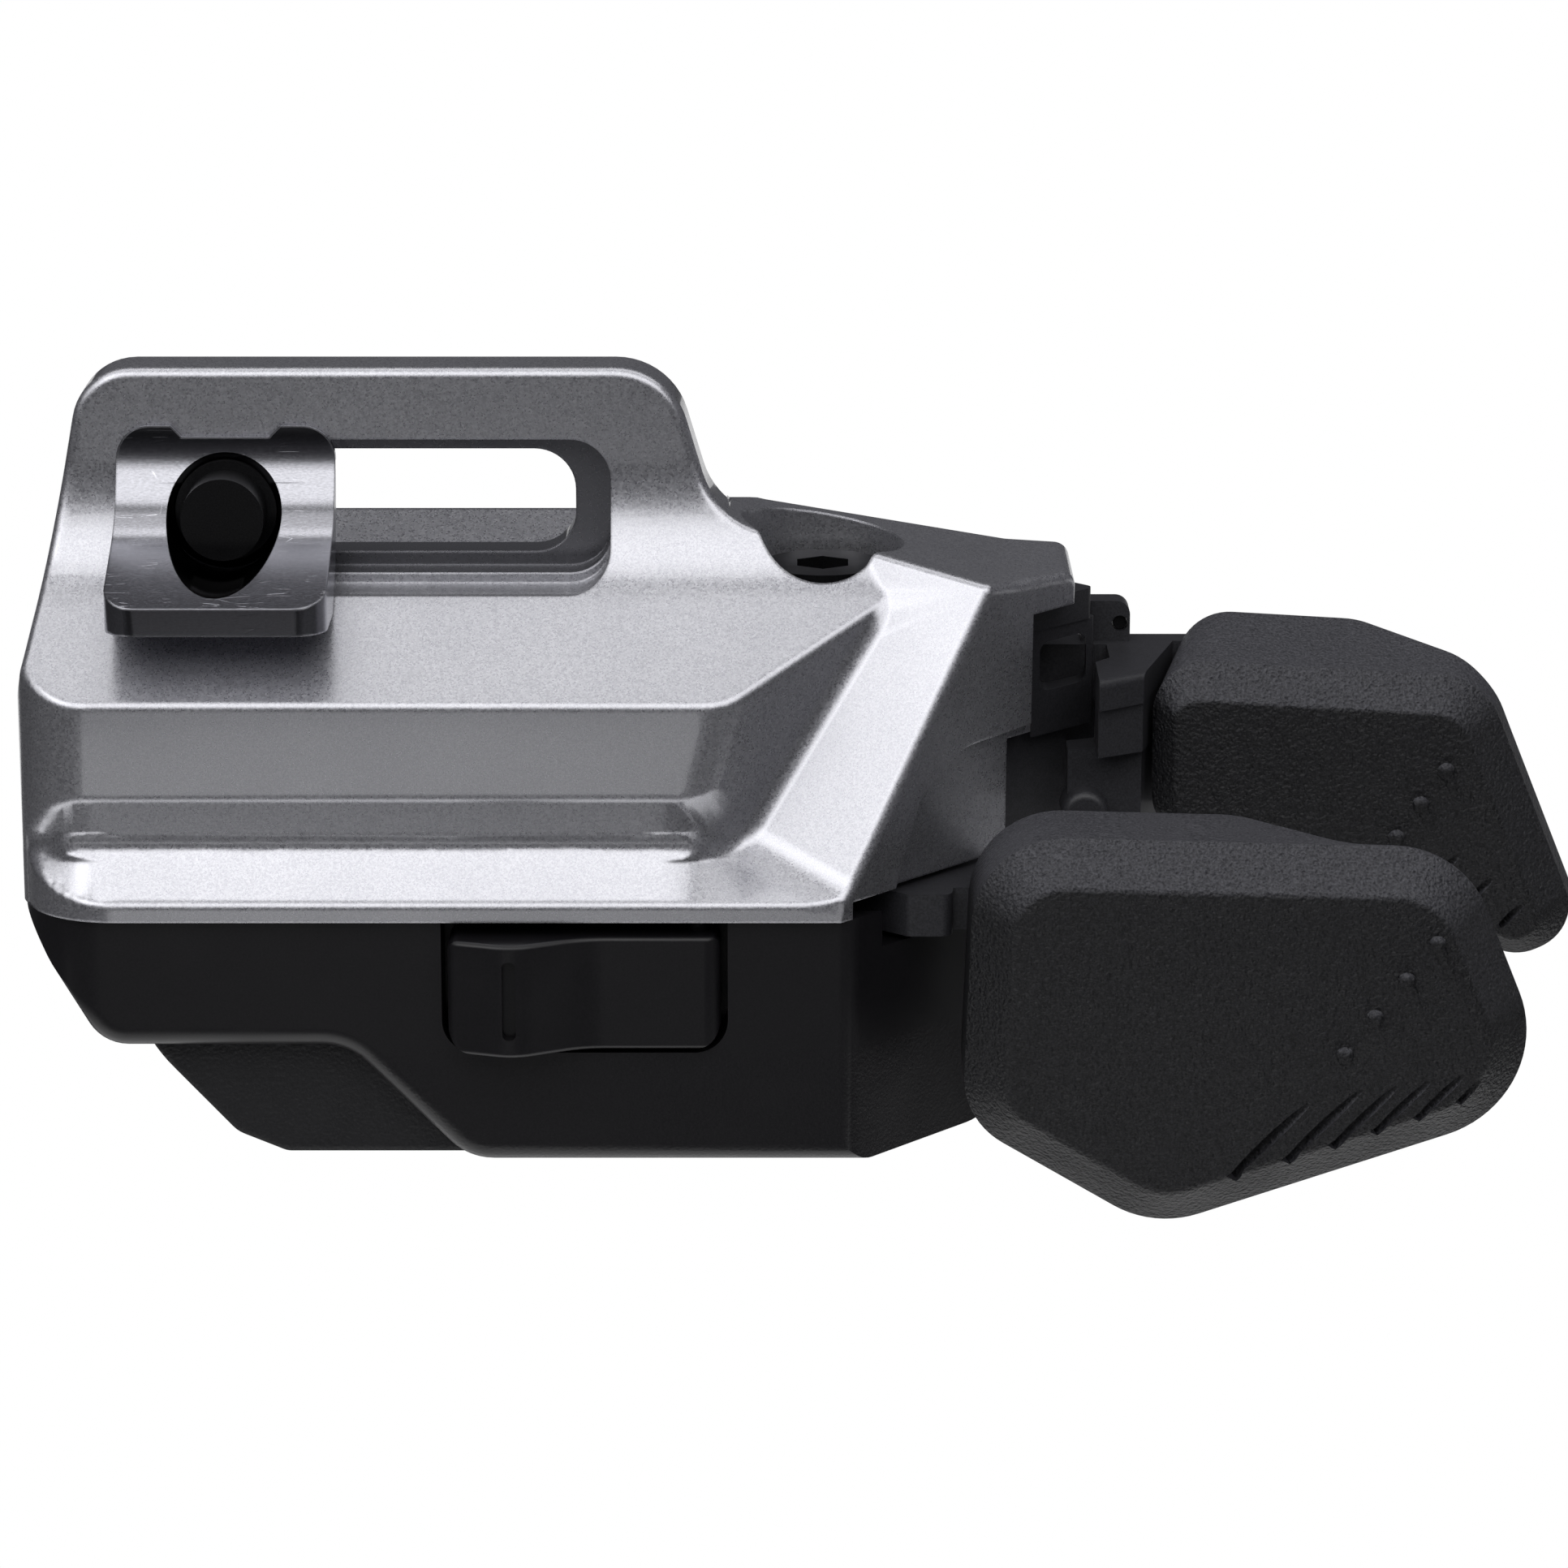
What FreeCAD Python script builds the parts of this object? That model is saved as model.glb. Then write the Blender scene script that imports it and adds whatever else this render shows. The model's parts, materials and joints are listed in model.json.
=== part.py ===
import FreeCAD, Part
import math
import os
from FreeCAD import Vector

# Electronic shift switch. Millimetres. X right, Y away from the rider, Z up.
# The origin is on the clamp bolt's axis, halfway along the depth of the saddle washer's seat.

# Clamp: washer, bolt and slot
SLOT_TRAVEL = 14.3
SLOT_WIDTH = 5.1
POCKET_WIDTH = 6.6
POCKET_END = 4.3
POCKET_CORNER = 2.0
POCKET_DEPTH = 1.5
RELIEF_BOTTOM = -3.85
BOLT_SHANK = 2.45
BOLT_END = 2.0
BOLT_TIP = 1.3
BOLT_STEP = 3.5
BOLT_HEAD = 3.6
BOLT_HEAD_HEIGHT = 2.6
BOLT_SOCKET = 1.5
BOLT_WASHER = 4.0
BOLT_WASHER_HEIGHT = 0.8
SADDLE_HALF = 5.3
SADDLE_TOP = 4.05
SADDLE_WALL = 0.4
SADDLE_SEAT_FOOT = 0.25
SADDLE_SEAT_ROUND = 5.4
SADDLE_LIP_FRONT = -4.2
SADDLE_LIP_TOP = -3.1
SADDLE_BOTTOM = -4.45
SADDLE_CORNER = 1.6
SADDLE_HOLE = 2.75
SADDLE_NOTCH = 2.1
SADDLE_NOTCH_DEPTH = 0.55
SLIDE_CLEARANCE = 0.1
SADDLE_GAP = 0.35

# Top housing
PLATE_FRONT = 4.5
PLATE_THICKNESS = 3.5
PLATE_TOP = 6.8
PLATE_EDGE = 0.5
LEFT = -9.9
END_SKIM = 0.08
RIGHT = 41.2
REAR = 17.0
PANEL_FRONT = -3.5
PANEL_TOP = -8.0
PANEL_BOTTOM = -12.6
PANEL_END = 24.3
VALLEY_FRONT = -1.5
VALLEY_LEVEL = -15.4
VALLEY_ROUND = 1.0
LIP_FRONT = -5.0
LIP_TOP = -17.4
LIP_EDGE = 0.5
PARTING = -18.3
SLOPE_DEGREES = 38.0
BLEND_RADIUS = 8.4
CREST = -2.35
CREST_ROUND = 0.6
CHANNEL_FLOOR = -4.4
CHANNEL_REAR = 12.4
SHOULDER_REAR = 11.2
HOOD_BOTTOM = -5.0
SIDE_END = 39.1
SIDE_STEP = -11.4
SIDE_LOWER_END = 37.9
SIDE_BOTTOM = -17.4
WALL = 1.5
CAVITY_TOP = -7.2
CAVITY_FRONT = 0.4
CAVITY_RIGHT = 24.6

# Lever pivot
PIVOT_X = 28.9
PIVOT_Y = 6.3
PIVOT_RECESS = 4.0
PIVOT_SEAT = -5.4
PIVOT_HEAD = 2.9
PIVOT_HEAD_HEIGHT = 2.2
PIVOT_SHANK = 2.0
PIVOT_END = -24.6
PIVOT_SOCKET = 1.25
BUSH_WALL = 1.0
HUB_RADIUS = 4.2
RUN = 0.05
UPPER_ARM_TOP = -8.3
UPPER_ARM_HEIGHT = 2.9
LOWER_ARM_TOP = -17.7
LOWER_ARM_HEIGHT = 2.1
LEVER_GAP = 0.15
SPRING_WIRE = 0.7
TAIL_X = 21.1
TAIL_FRONT = 5.3
NUT_RADIUS = 2.8
NUT_TOP = -20.7
NUT_BOTTOM = -25.4

# Lower housing, battery and boards
LOWER_FRONT = -4.5
LOWER_LEFT = -9.7
LOWER_STEP = -24.8
LOWER_BOTTOM = -30.6
LOWER_RIGHT = 38.0
LOWER_EDGE = 1.1
CELL_X = 9.6
CELL_Y = 7.0
CELL_RADIUS = 8.0
CELL_HEIGHT = 3.2
CELL_TOP = -25.8
COVER_FRONT = -2.5
COVER_REAR = 16.4
COVER_RIGHT = 20.5
SEAL_INNER = 8.75
SEAL_OUTER = 9.3
SEAL_HEIGHT = 0.5
BOARD_TOP = -20.4
BOARD_THICKNESS = 0.8
BOARD_FRONT = 0.6
BOARD_REAR = 12.8
SWITCH_FACE = 1.7
SWITCH_DEPTH = 2.5
PLUNGER = 0.7
PLUNGER_FIT = 0.08
PLUNGER_GAP = 0.06
SCREW_SHANK = 0.9
SCREW_HEAD = 1.55
SCREW_HEAD_HEIGHT = 1.0

# Function button
BUTTON_LEFT = 10.9
BUTTON_RIGHT = 23.95
BUTTON_TOP = -19.0
BUTTON_BOTTOM = -24.6
BUTTON_BACK = -2.5
BUTTON_FLAT = -5.1
BUTTON_CREST = -6.8
BUTTON_EDGE = 0.25
BUTTON_PIN_X = 22.9
BUTTON_PIN_Y = -3.4
BUTTON_PIN = 0.6
BUTTON_GAP = 0.35
BUTTON_ROOM = 1.3
FUNCTION_X = 14.2
FUNCTION_Z = -22.2

# Paddles
LOWER_PADDLE_FRONT = -8.0
LOWER_PADDLE_BACK = -1.0
LOWER_TIP_BACK = -5.8
UPPER_PADDLE_FRONT = 4.0
UPPER_PADDLE_BACK = 11.0
UPPER_TIP_BACK = 6.4
LOWER_BEVEL = 2.0
UPPER_BEVEL = 1.4
BEVEL_ROUND = 0.3
RIDGE = 0.4
RIDGE_SINK = 0.24
RIDGE_DOT = 0.5
FLANGE = 1.5
FLANGE_RIGHT = 48.4
BLOCK_LEFT = 42.35
BLOCK_RIGHT = 44.7
BLOCK_FRONT = 2.5
BLOCK_STEP = -9.8
BLOCK_FOOT = -12.3
BLOCK_BOTTOM = -15.6
BLOCK_OUTER = 44.6
BLOCK_INNER = 43.1
BLOCK_EDGE = 0.4
UPPER_FLANGE_RIGHT = 55.5
BOSS_LEFT = 41.85
BOSS_RIGHT = 44.3
BOSS_TOP = -6.25
STOP_X = 41.8
STOP_FRONT = 3.6
STOP_RADIUS = 1.15
ADJUST_X = 43.8
ADJUST_Z = -7.4
ADJUST_RADIUS = 0.35
UPPER_SCREWS = [(47.6, -11.6), (52.8, -12.4)]
LOWER_SCREWS = [(40.6, -21.8), (45.6, -25.0)]

PLATE_BACK = PLATE_FRONT + PLATE_THICKNESS
POCKET_FLOOR = PLATE_FRONT + POCKET_DEPTH
BUSH = PIVOT_SHANK + RUN + BUSH_WALL
HUB_BORE = BUSH + RUN
UPPER_ARM_BOTTOM = UPPER_ARM_TOP - UPPER_ARM_HEIGHT
LOWER_ARM_BOTTOM = LOWER_ARM_TOP - LOWER_ARM_HEIGHT
BOARD_BOTTOM = BOARD_TOP - BOARD_THICKNESS
CHAMBER_TOP = UPPER_ARM_TOP + 0.25
SLEEVE_TOP = UPPER_ARM_BOTTOM - LEVER_GAP
SLEEVE_BOTTOM = LOWER_ARM_TOP + LEVER_GAP
BRACKET_LEFT = SIDE_END + RUN
RECESS_FLOOR = BUTTON_BACK + BUTTON_ROOM
TUB_FRONT = RECESS_FLOOR + 1.0
TUB_FLOOR = LOWER_STEP + 1.4
DEEP_FLOOR = LOWER_BOTTOM + WALL
HOUSING_SCREWS = [(-1.8, 14.2), (-1.8, 2.0), (23.4, 13.6)]
BOARD_POSTS = [(3.0, 1.8), (19.2, 9.8)]
COVER_SCREWS = [(1.2, -0.6), (1.2, 14.6), (18.0, -0.6), (18.0, 14.6)]
UPPER_FLANGE_BACK = UPPER_PADDLE_BACK + RUN + FLANGE
LOWER_FLANGE_BACK = LOWER_PADDLE_BACK + RUN + FLANGE
UP = Vector(0, 0, 1)
BACK = Vector(0, 1, 0)
RIGHTWARD = Vector(1, 0, 0)
UPPER_LEAN = Vector(0.27, 1, 0.21)

PLANES = {
    "XY": (lambda p, at: Vector(p.x, p.y, at), UP),
    "XZ": (lambda p, at: Vector(p.x, at, p.y), BACK),
    "YZ": (lambda p, at: Vector(at, p.x, p.y), RIGHTWARD),
}


def rounded_wire(outline, place):
    """Closed wire through (a, b, radius) corners, each rounded by a tangent arc."""
    corners = []
    for index, (a, b, radius) in enumerate(outline):
        here = Vector(a, b, 0)
        if radius == 0:
            corners.append((here, here, here))
            continue
        before = Vector(*outline[index - 1][:2], 0)
        after = Vector(*outline[(index + 1) % len(outline)][:2], 0)
        to_before = (before - here).normalize()
        to_after = (after - here).normalize()
        half = to_before.getAngle(to_after) / 2
        reach = radius / math.tan(half)
        inward = (to_before + to_after).normalize() * (radius / math.sin(half) - radius)
        corners.append((here + to_before * reach, here + inward, here + to_after * reach))
    edges = []
    for index, (start, middle, end) in enumerate(corners):
        last_end = corners[index - 1][2]
        if last_end.distanceToPoint(start) > 1e-6:
            edges.append(Part.makeLine(place(last_end), place(start)))
        if start.distanceToPoint(end) > 1e-6:
            edges.append(Part.Arc(place(start), place(middle), place(end)).toShape())
    return Part.Wire(edges)


def prism(outline, plane, low, high):
    """Rounded outline drawn on a plane and extruded from low to high."""
    place, along = PLANES[plane]
    face = Part.Face(rounded_wire(outline, lambda p: place(p, low)))
    return face.extrude(along * (high - low))


def box(x, y, z):
    """Box between the two limits given for each axis."""
    return Part.makeBox(x[1] - x[0], y[1] - y[0], z[1] - z[0], Vector(x[0], y[0], z[0]))


def post(x, y, radius, low, high):
    """Upright cylinder."""
    return Part.makeCylinder(radius, high - low, Vector(x, y, low), UP)


def rod(x, z, radius, front, back):
    """Cylinder along Y."""
    return Part.makeCylinder(radius, back - front, Vector(x, front, z), BACK)


def beyond(point, normal, reach=90.0):
    """Block of space on the outer side of a plane."""
    block = Part.makeBox(reach, reach, reach, Vector(-reach / 2, -reach / 2, 0))
    block.Placement = FreeCAD.Placement(point, FreeCAD.Rotation(UP, normal))
    return block


def facing(a, b, c, towards):
    """Normal of the plane through three points, on the side named."""
    normal = (b - a).cross(c - a).normalize()
    return normal if normal.dot(towards) > 0 else normal * -1


def middle(edge):
    return edge.valueAt((edge.FirstParameter + edge.LastParameter) / 2)


def shared_edges(shape, first, second):
    """Edges of a shape that lie on the skins of two of the solids it was made from."""
    found = []
    for edge in shape.Edges:
        spot = Part.Vertex(middle(edge))
        if spot.distToShape(first.Shells[0])[0] > 1e-4:
            continue
        if spot.distToShape(second.Shells[0])[0] < 1e-4:
            found.append(edge)
    return found


def hex_socket(radius, low, high):
    """Hexagon prism on the Z axis, radius across the flats."""
    points = []
    for step in range(6):
        angle = math.radians(60 * step + 30)
        points.append((math.cos(angle) * radius / math.cos(math.pi / 6),
                       math.sin(angle) * radius / math.cos(math.pi / 6), 0))
    return prism(points, "XY", low, high)


def joined(first, *others):
    """Fused solid with the seams inside flat faces taken out."""
    return first.fuse(list(others)).removeSplitter()


def cut(shape, *tools):
    return shape.cut(list(tools))


nodes = {}

# Saddle washer
slope_tan = math.tan(math.radians(SLOPE_DEGREES))
slope_corner = PANEL_TOP + (PLATE_FRONT - PANEL_FRONT) * slope_tan
blend_reach = BLEND_RADIUS * math.tan(math.radians(45 - SLOPE_DEGREES / 2))
blend_y = PLATE_FRONT - BLEND_RADIUS
blend_z = slope_corner + blend_reach


def saddle_washer():
    seat = PLATE_FRONT - SADDLE_WALL
    side = [
        (seat, SADDLE_TOP, 0),
        (seat, SADDLE_SEAT_FOOT, SADDLE_SEAT_ROUND),
        (SADDLE_LIP_FRONT, SADDLE_LIP_TOP, 0),
        (SADDLE_LIP_FRONT, SADDLE_BOTTOM, 0),
        (PLATE_FRONT, SADDLE_BOTTOM, 0),
        (PLATE_FRONT, SADDLE_TOP, 0),
    ]
    front = [
        (-SADDLE_HALF, SADDLE_BOTTOM, 0),
        (SADDLE_HALF, SADDLE_BOTTOM, 0),
        (SADDLE_HALF, SADDLE_TOP, SADDLE_CORNER),
        (SADDLE_NOTCH + SADDLE_NOTCH_DEPTH, SADDLE_TOP, 0),
        (SADDLE_NOTCH, SADDLE_TOP - SADDLE_NOTCH_DEPTH, 0),
        (-SADDLE_NOTCH, SADDLE_TOP - SADDLE_NOTCH_DEPTH, 0),
        (-SADDLE_NOTCH - SADDLE_NOTCH_DEPTH, SADDLE_TOP, 0),
        (-SADDLE_HALF, SADDLE_TOP, SADDLE_CORNER),
    ]
    plan = [
        (-SADDLE_HALF, SADDLE_LIP_FRONT, SADDLE_CORNER),
        (SADDLE_HALF, SADDLE_LIP_FRONT, SADDLE_CORNER),
        (SADDLE_HALF, PLATE_FRONT, 0),
        (-SADDLE_HALF, PLATE_FRONT, 0),
    ]
    body = prism(side, "YZ", -SADDLE_HALF, SADDLE_HALF)
    body = body.common(prism(plan, "XY", SADDLE_BOTTOM, SADDLE_TOP))
    body = body.common(prism(front, "XZ", SADDLE_LIP_FRONT, PLATE_FRONT))
    clear = BLEND_RADIUS - SADDLE_GAP
    slope_back = math.radians(90 - SLOPE_DEGREES)
    below = [
        (PLATE_FRONT + 1, blend_z, 0),
        (blend_y + clear, blend_z, 0),
        (blend_y + clear, blend_z - clear * math.tan(slope_back / 2), clear),
        (blend_y + clear * math.cos(slope_back) - 9 * math.sin(slope_back),
         blend_z - clear * math.sin(slope_back) - 9 * math.cos(slope_back), 0),
        (PLATE_FRONT + 1, blend_z - 20, 0),
    ]
    body = cut(body, prism(below, "YZ", -SADDLE_HALF, SADDLE_HALF))
    key_half = POCKET_END - SLIDE_CLEARANCE
    key_high = POCKET_WIDTH / 2 - SLIDE_CLEARANCE
    pad = [
        (-key_half, RELIEF_BOTTOM + SADDLE_GAP, POCKET_CORNER),
        (key_half, RELIEF_BOTTOM + SADDLE_GAP, POCKET_CORNER),
        (key_half, key_high - POCKET_CORNER, 0),
        (-key_half, key_high - POCKET_CORNER, 0),
    ]
    key = [
        (-key_half, -key_high, POCKET_CORNER),
        (key_half, -key_high, POCKET_CORNER),
        (key_half, key_high, POCKET_CORNER),
        (-key_half, key_high, POCKET_CORNER),
    ]
    body = joined(body, prism(pad, "XZ", PLATE_FRONT - 1.2, PLATE_FRONT),
                  prism(key, "XZ", PLATE_FRONT - 1.0, POCKET_FLOOR - SLIDE_CLEARANCE))
    sleeve_room = rod(0, 0, SADDLE_HOLE, SADDLE_LIP_FRONT - 1, BOLT_STEP)
    return cut(body, sleeve_room, rod(0, 0, BOLT_SHANK + RUN, BOLT_STEP - 1, POCKET_FLOOR))


nodes["saddle_washer"] = saddle_washer()

# Clamp bolt and its washer
head_front = PLATE_BACK + BOLT_WASHER_HEIGHT
head_back = head_front + BOLT_HEAD_HEIGHT
bolt = joined(rod(0, 0, BOLT_END, BOLT_TIP, BOLT_STEP), rod(0, 0, BOLT_SHANK, BOLT_STEP, head_front),
              rod(0, 0, BOLT_HEAD, head_front, head_back))
socket = hex_socket(BOLT_SOCKET, -1.8, 1)
socket.Placement = FreeCAD.Placement(Vector(0, head_back, 0), FreeCAD.Rotation(RIGHTWARD, -90))
nodes["clamp_bolt"] = cut(bolt, socket)
nodes["bolt_washer"] = cut(rod(0, 0, BOLT_WASHER, PLATE_BACK, head_front),
                           rod(0, 0, BOLT_SHANK + RUN, PLATE_BACK, head_front))

# Top housing: corner points of its slanting faces
panel_corner = Vector(PANEL_END, PANEL_FRONT, PANEL_TOP)
facet_top = Vector(34.2, 3.0, -2.75)
valley_corner = Vector(PANEL_END + 0.7, VALLEY_FRONT, VALLEY_LEVEL)
ridge_top = Vector(37.1, 0.0, -2.6)
ridge_bottom = Vector(29.9, LIP_FRONT, LIP_TOP)
side_corner = Vector(SIDE_LOWER_END, 4.0, -17.3)
facet_normal = facing(panel_corner, facet_top, valley_corner, Vector(1, -1, 0))
ridge_normal = facing(ridge_top, ridge_bottom, valley_corner, Vector(0, -1, 0))
side_normal = facing(ridge_top, ridge_bottom, side_corner, Vector(1, -1, 0))
lip_edge = Vector(0, LIP_FRONT, LIP_TOP)
lip_normal = facing(lip_edge, lip_edge + RIGHTWARD, Vector(0, VALLEY_FRONT, VALLEY_LEVEL), Vector(0, -1, 1))


def on_facet(edge):
    spots = [middle(edge)] + [vertex.Point for vertex in edge.Vertexes]
    return all(abs((spot - panel_corner).dot(facet_normal)) < 1e-3 for spot in spots)


def housing_block(outline):
    """Plate, slope and front panel, rounded along their edges."""
    profile = [
        (PLATE_FRONT, PLATE_TOP, 0),
        (PLATE_FRONT, slope_corner, BLEND_RADIUS),
        (PANEL_FRONT, PANEL_TOP, 0),
        (PANEL_FRONT, PANEL_BOTTOM, 0),
        (VALLEY_FRONT, VALLEY_LEVEL, 0),
        (VALLEY_FRONT, PARTING, 0),
        (REAR, PARTING, 0),
        (REAR, CREST, CREST_ROUND),
        (CHANNEL_REAR, CHANNEL_FLOOR, 0),
        (PLATE_BACK, CHANNEL_FLOOR, 0.5),
        (PLATE_BACK, PLATE_TOP, 0),
    ]
    plan = [
        (LEFT, PANEL_FRONT, 3.5),
        (RIGHT + 5, PANEL_FRONT, 0),
        (RIGHT + 5, REAR, 0),
        (LEFT, REAR, 3.0),
    ]
    block = prism(profile, "YZ", LEFT, RIGHT).common(outline)
    block = block.common(prism(plan, "XY", PARTING, PLATE_TOP))
    block = cut(block, beyond(panel_corner, facet_normal))
    corner = [e for e in block.Edges
              if on_facet(e) and middle(e).z < PANEL_TOP and middle(e).y < PANEL_FRONT + 2.1]
    block = block.makeFillet(3.0, corner)
    brow = []
    sill = []
    for edge in block.Edges:
        spot = middle(edge)
        if abs(spot.z - PANEL_TOP) < 0.6 and spot.y < PANEL_FRONT + 0.6:
            brow.append(edge)
        elif on_facet(edge) and spot.y < facet_top.y - 0.1 and spot.z > PANEL_TOP:
            brow.append(edge)
    block = block.makeFillet(0.6, brow)
    for edge in block.Edges:
        spot = middle(edge)
        flat = abs(edge.tangentAt(edge.FirstParameter).z) < 0.9
        if abs(spot.z - PANEL_BOTTOM) < 0.9 and spot.y < PANEL_FRONT + 1.1 and edge.Length > 0.3 and flat:
            sill.append(edge)
    return block.makeFillet(0.8, sill)


def housing_frame(outline):
    """Bulge below the panel and the ridge that climbs to the shoulder."""
    profile = [
        (LIP_FRONT, PARTING, 0),
        (LIP_FRONT, PLATE_TOP, 0),
        (SHOULDER_REAR, PLATE_TOP, 0),
        (SHOULDER_REAR, -3.2, 0),
        (REAR - 1.5, -5.0, 0),
        (REAR - 1.5, PARTING, 0),
    ]
    plan = [
        (LEFT + 0.3, LIP_FRONT, 4.5),
        (RIGHT + 5, LIP_FRONT, 0),
        (RIGHT + 5, REAR - 1.5, 0),
        (LEFT + 0.3, REAR - 1.5, 3.0),
    ]
    hollow = beyond(lip_edge, lip_normal).common(beyond(ridge_bottom, ridge_normal))
    meeting = [e for e in hollow.Edges if abs((middle(e) - ridge_bottom).dot(lip_normal)) < 1e-3
               and abs((middle(e) - ridge_bottom).dot(ridge_normal)) < 1e-3]
    hollow = hollow.makeFillet(4.0, meeting)
    frame = prism(profile, "YZ", LEFT + 0.3, RIGHT).common(outline)
    frame = frame.common(prism(plan, "XY", PARTING, PLATE_TOP))
    behind_plate = box((LEFT, 24.2), (PLATE_BACK, REAR), (CHANNEL_FLOOR, PLATE_TOP + 1))
    return cut(frame, hollow, behind_plate), hollow


def pocket_outline(half_height, end):
    corner = min(POCKET_CORNER, half_height)
    return [
        (-end, -half_height, corner),
        (SLOT_TRAVEL + end, -half_height, corner),
        (SLOT_TRAVEL + end, half_height, corner),
        (-end, half_height, corner),
    ]


def top_housing():
    front_outline = [
        (LEFT, PARTING, 0),
        (LEFT, -8.5, 4.0),
        (-7.0, PLATE_TOP, 3.0),
        (21.5, PLATE_TOP, 3.6),
        (23.75, -0.7, 3.8),
        (38.0, -3.1, 3.0),
        (RIGHT, -3.3, 0.8),
        (RIGHT, PARTING, 0),
    ]
    outline = prism(front_outline, "XZ", LIP_FRONT - 1, REAR + 1)
    block = housing_block(outline)
    frame, hollow = housing_frame(outline)
    side_cut = beyond(ridge_top, side_normal)
    frame = cut(frame, side_cut)
    body = cut(joined(block, frame), side_cut)
    lip = []
    for edge in shared_edges(body, hollow, frame):
        spot = middle(edge)
        on_front = abs(spot.y - LIP_FRONT) < 1e-3
        on_side = abs((spot - ridge_top).dot(side_normal)) < 1e-3
        on_corner = spot.x < LEFT + 4.8 and spot.y < VALLEY_FRONT - 0.5
        if on_front or on_side or on_corner:
            lip.append(edge)
    body = body.makeFillet(LIP_EDGE, lip)
    valley = []
    for edge in shared_edges(body, block, hollow):
        spot = middle(edge)
        if spot.x > LEFT + 5 and spot.y < facet_top.y - 1.2 and spot.z > VALLEY_LEVEL - 0.3:
            valley.append(edge)
    body = body.makeFillet(VALLEY_ROUND, valley)
    front_rim = []
    back_rim = []
    for edge in body.Edges:
        spot = middle(edge)
        along = edge.tangentAt((edge.FirstParameter + edge.LastParameter) / 2) if edge.Length > 0.02 else BACK
        if abs(along.y) > 0.98 or spot.z < 0 or spot.x > 23.6:
            continue
        if Part.Vertex(spot).distToShape(outline.Shells[0])[0] > 1e-4:
            continue
        if abs(spot.y - PLATE_FRONT) < 0.01:
            front_rim.append(edge)
        elif abs(spot.y - PLATE_BACK) < 0.01:
            back_rim.append(edge)
    body = body.makeFillet(PLATE_EDGE, front_rim + back_rim)
    left_skim = box((LEFT - 1, LEFT + END_SKIM), (LIP_FRONT - 1, REAR + 1), (PARTING - 1, PLATE_TOP))
    return hollowed_housing(cut(body, left_skim))


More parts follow.
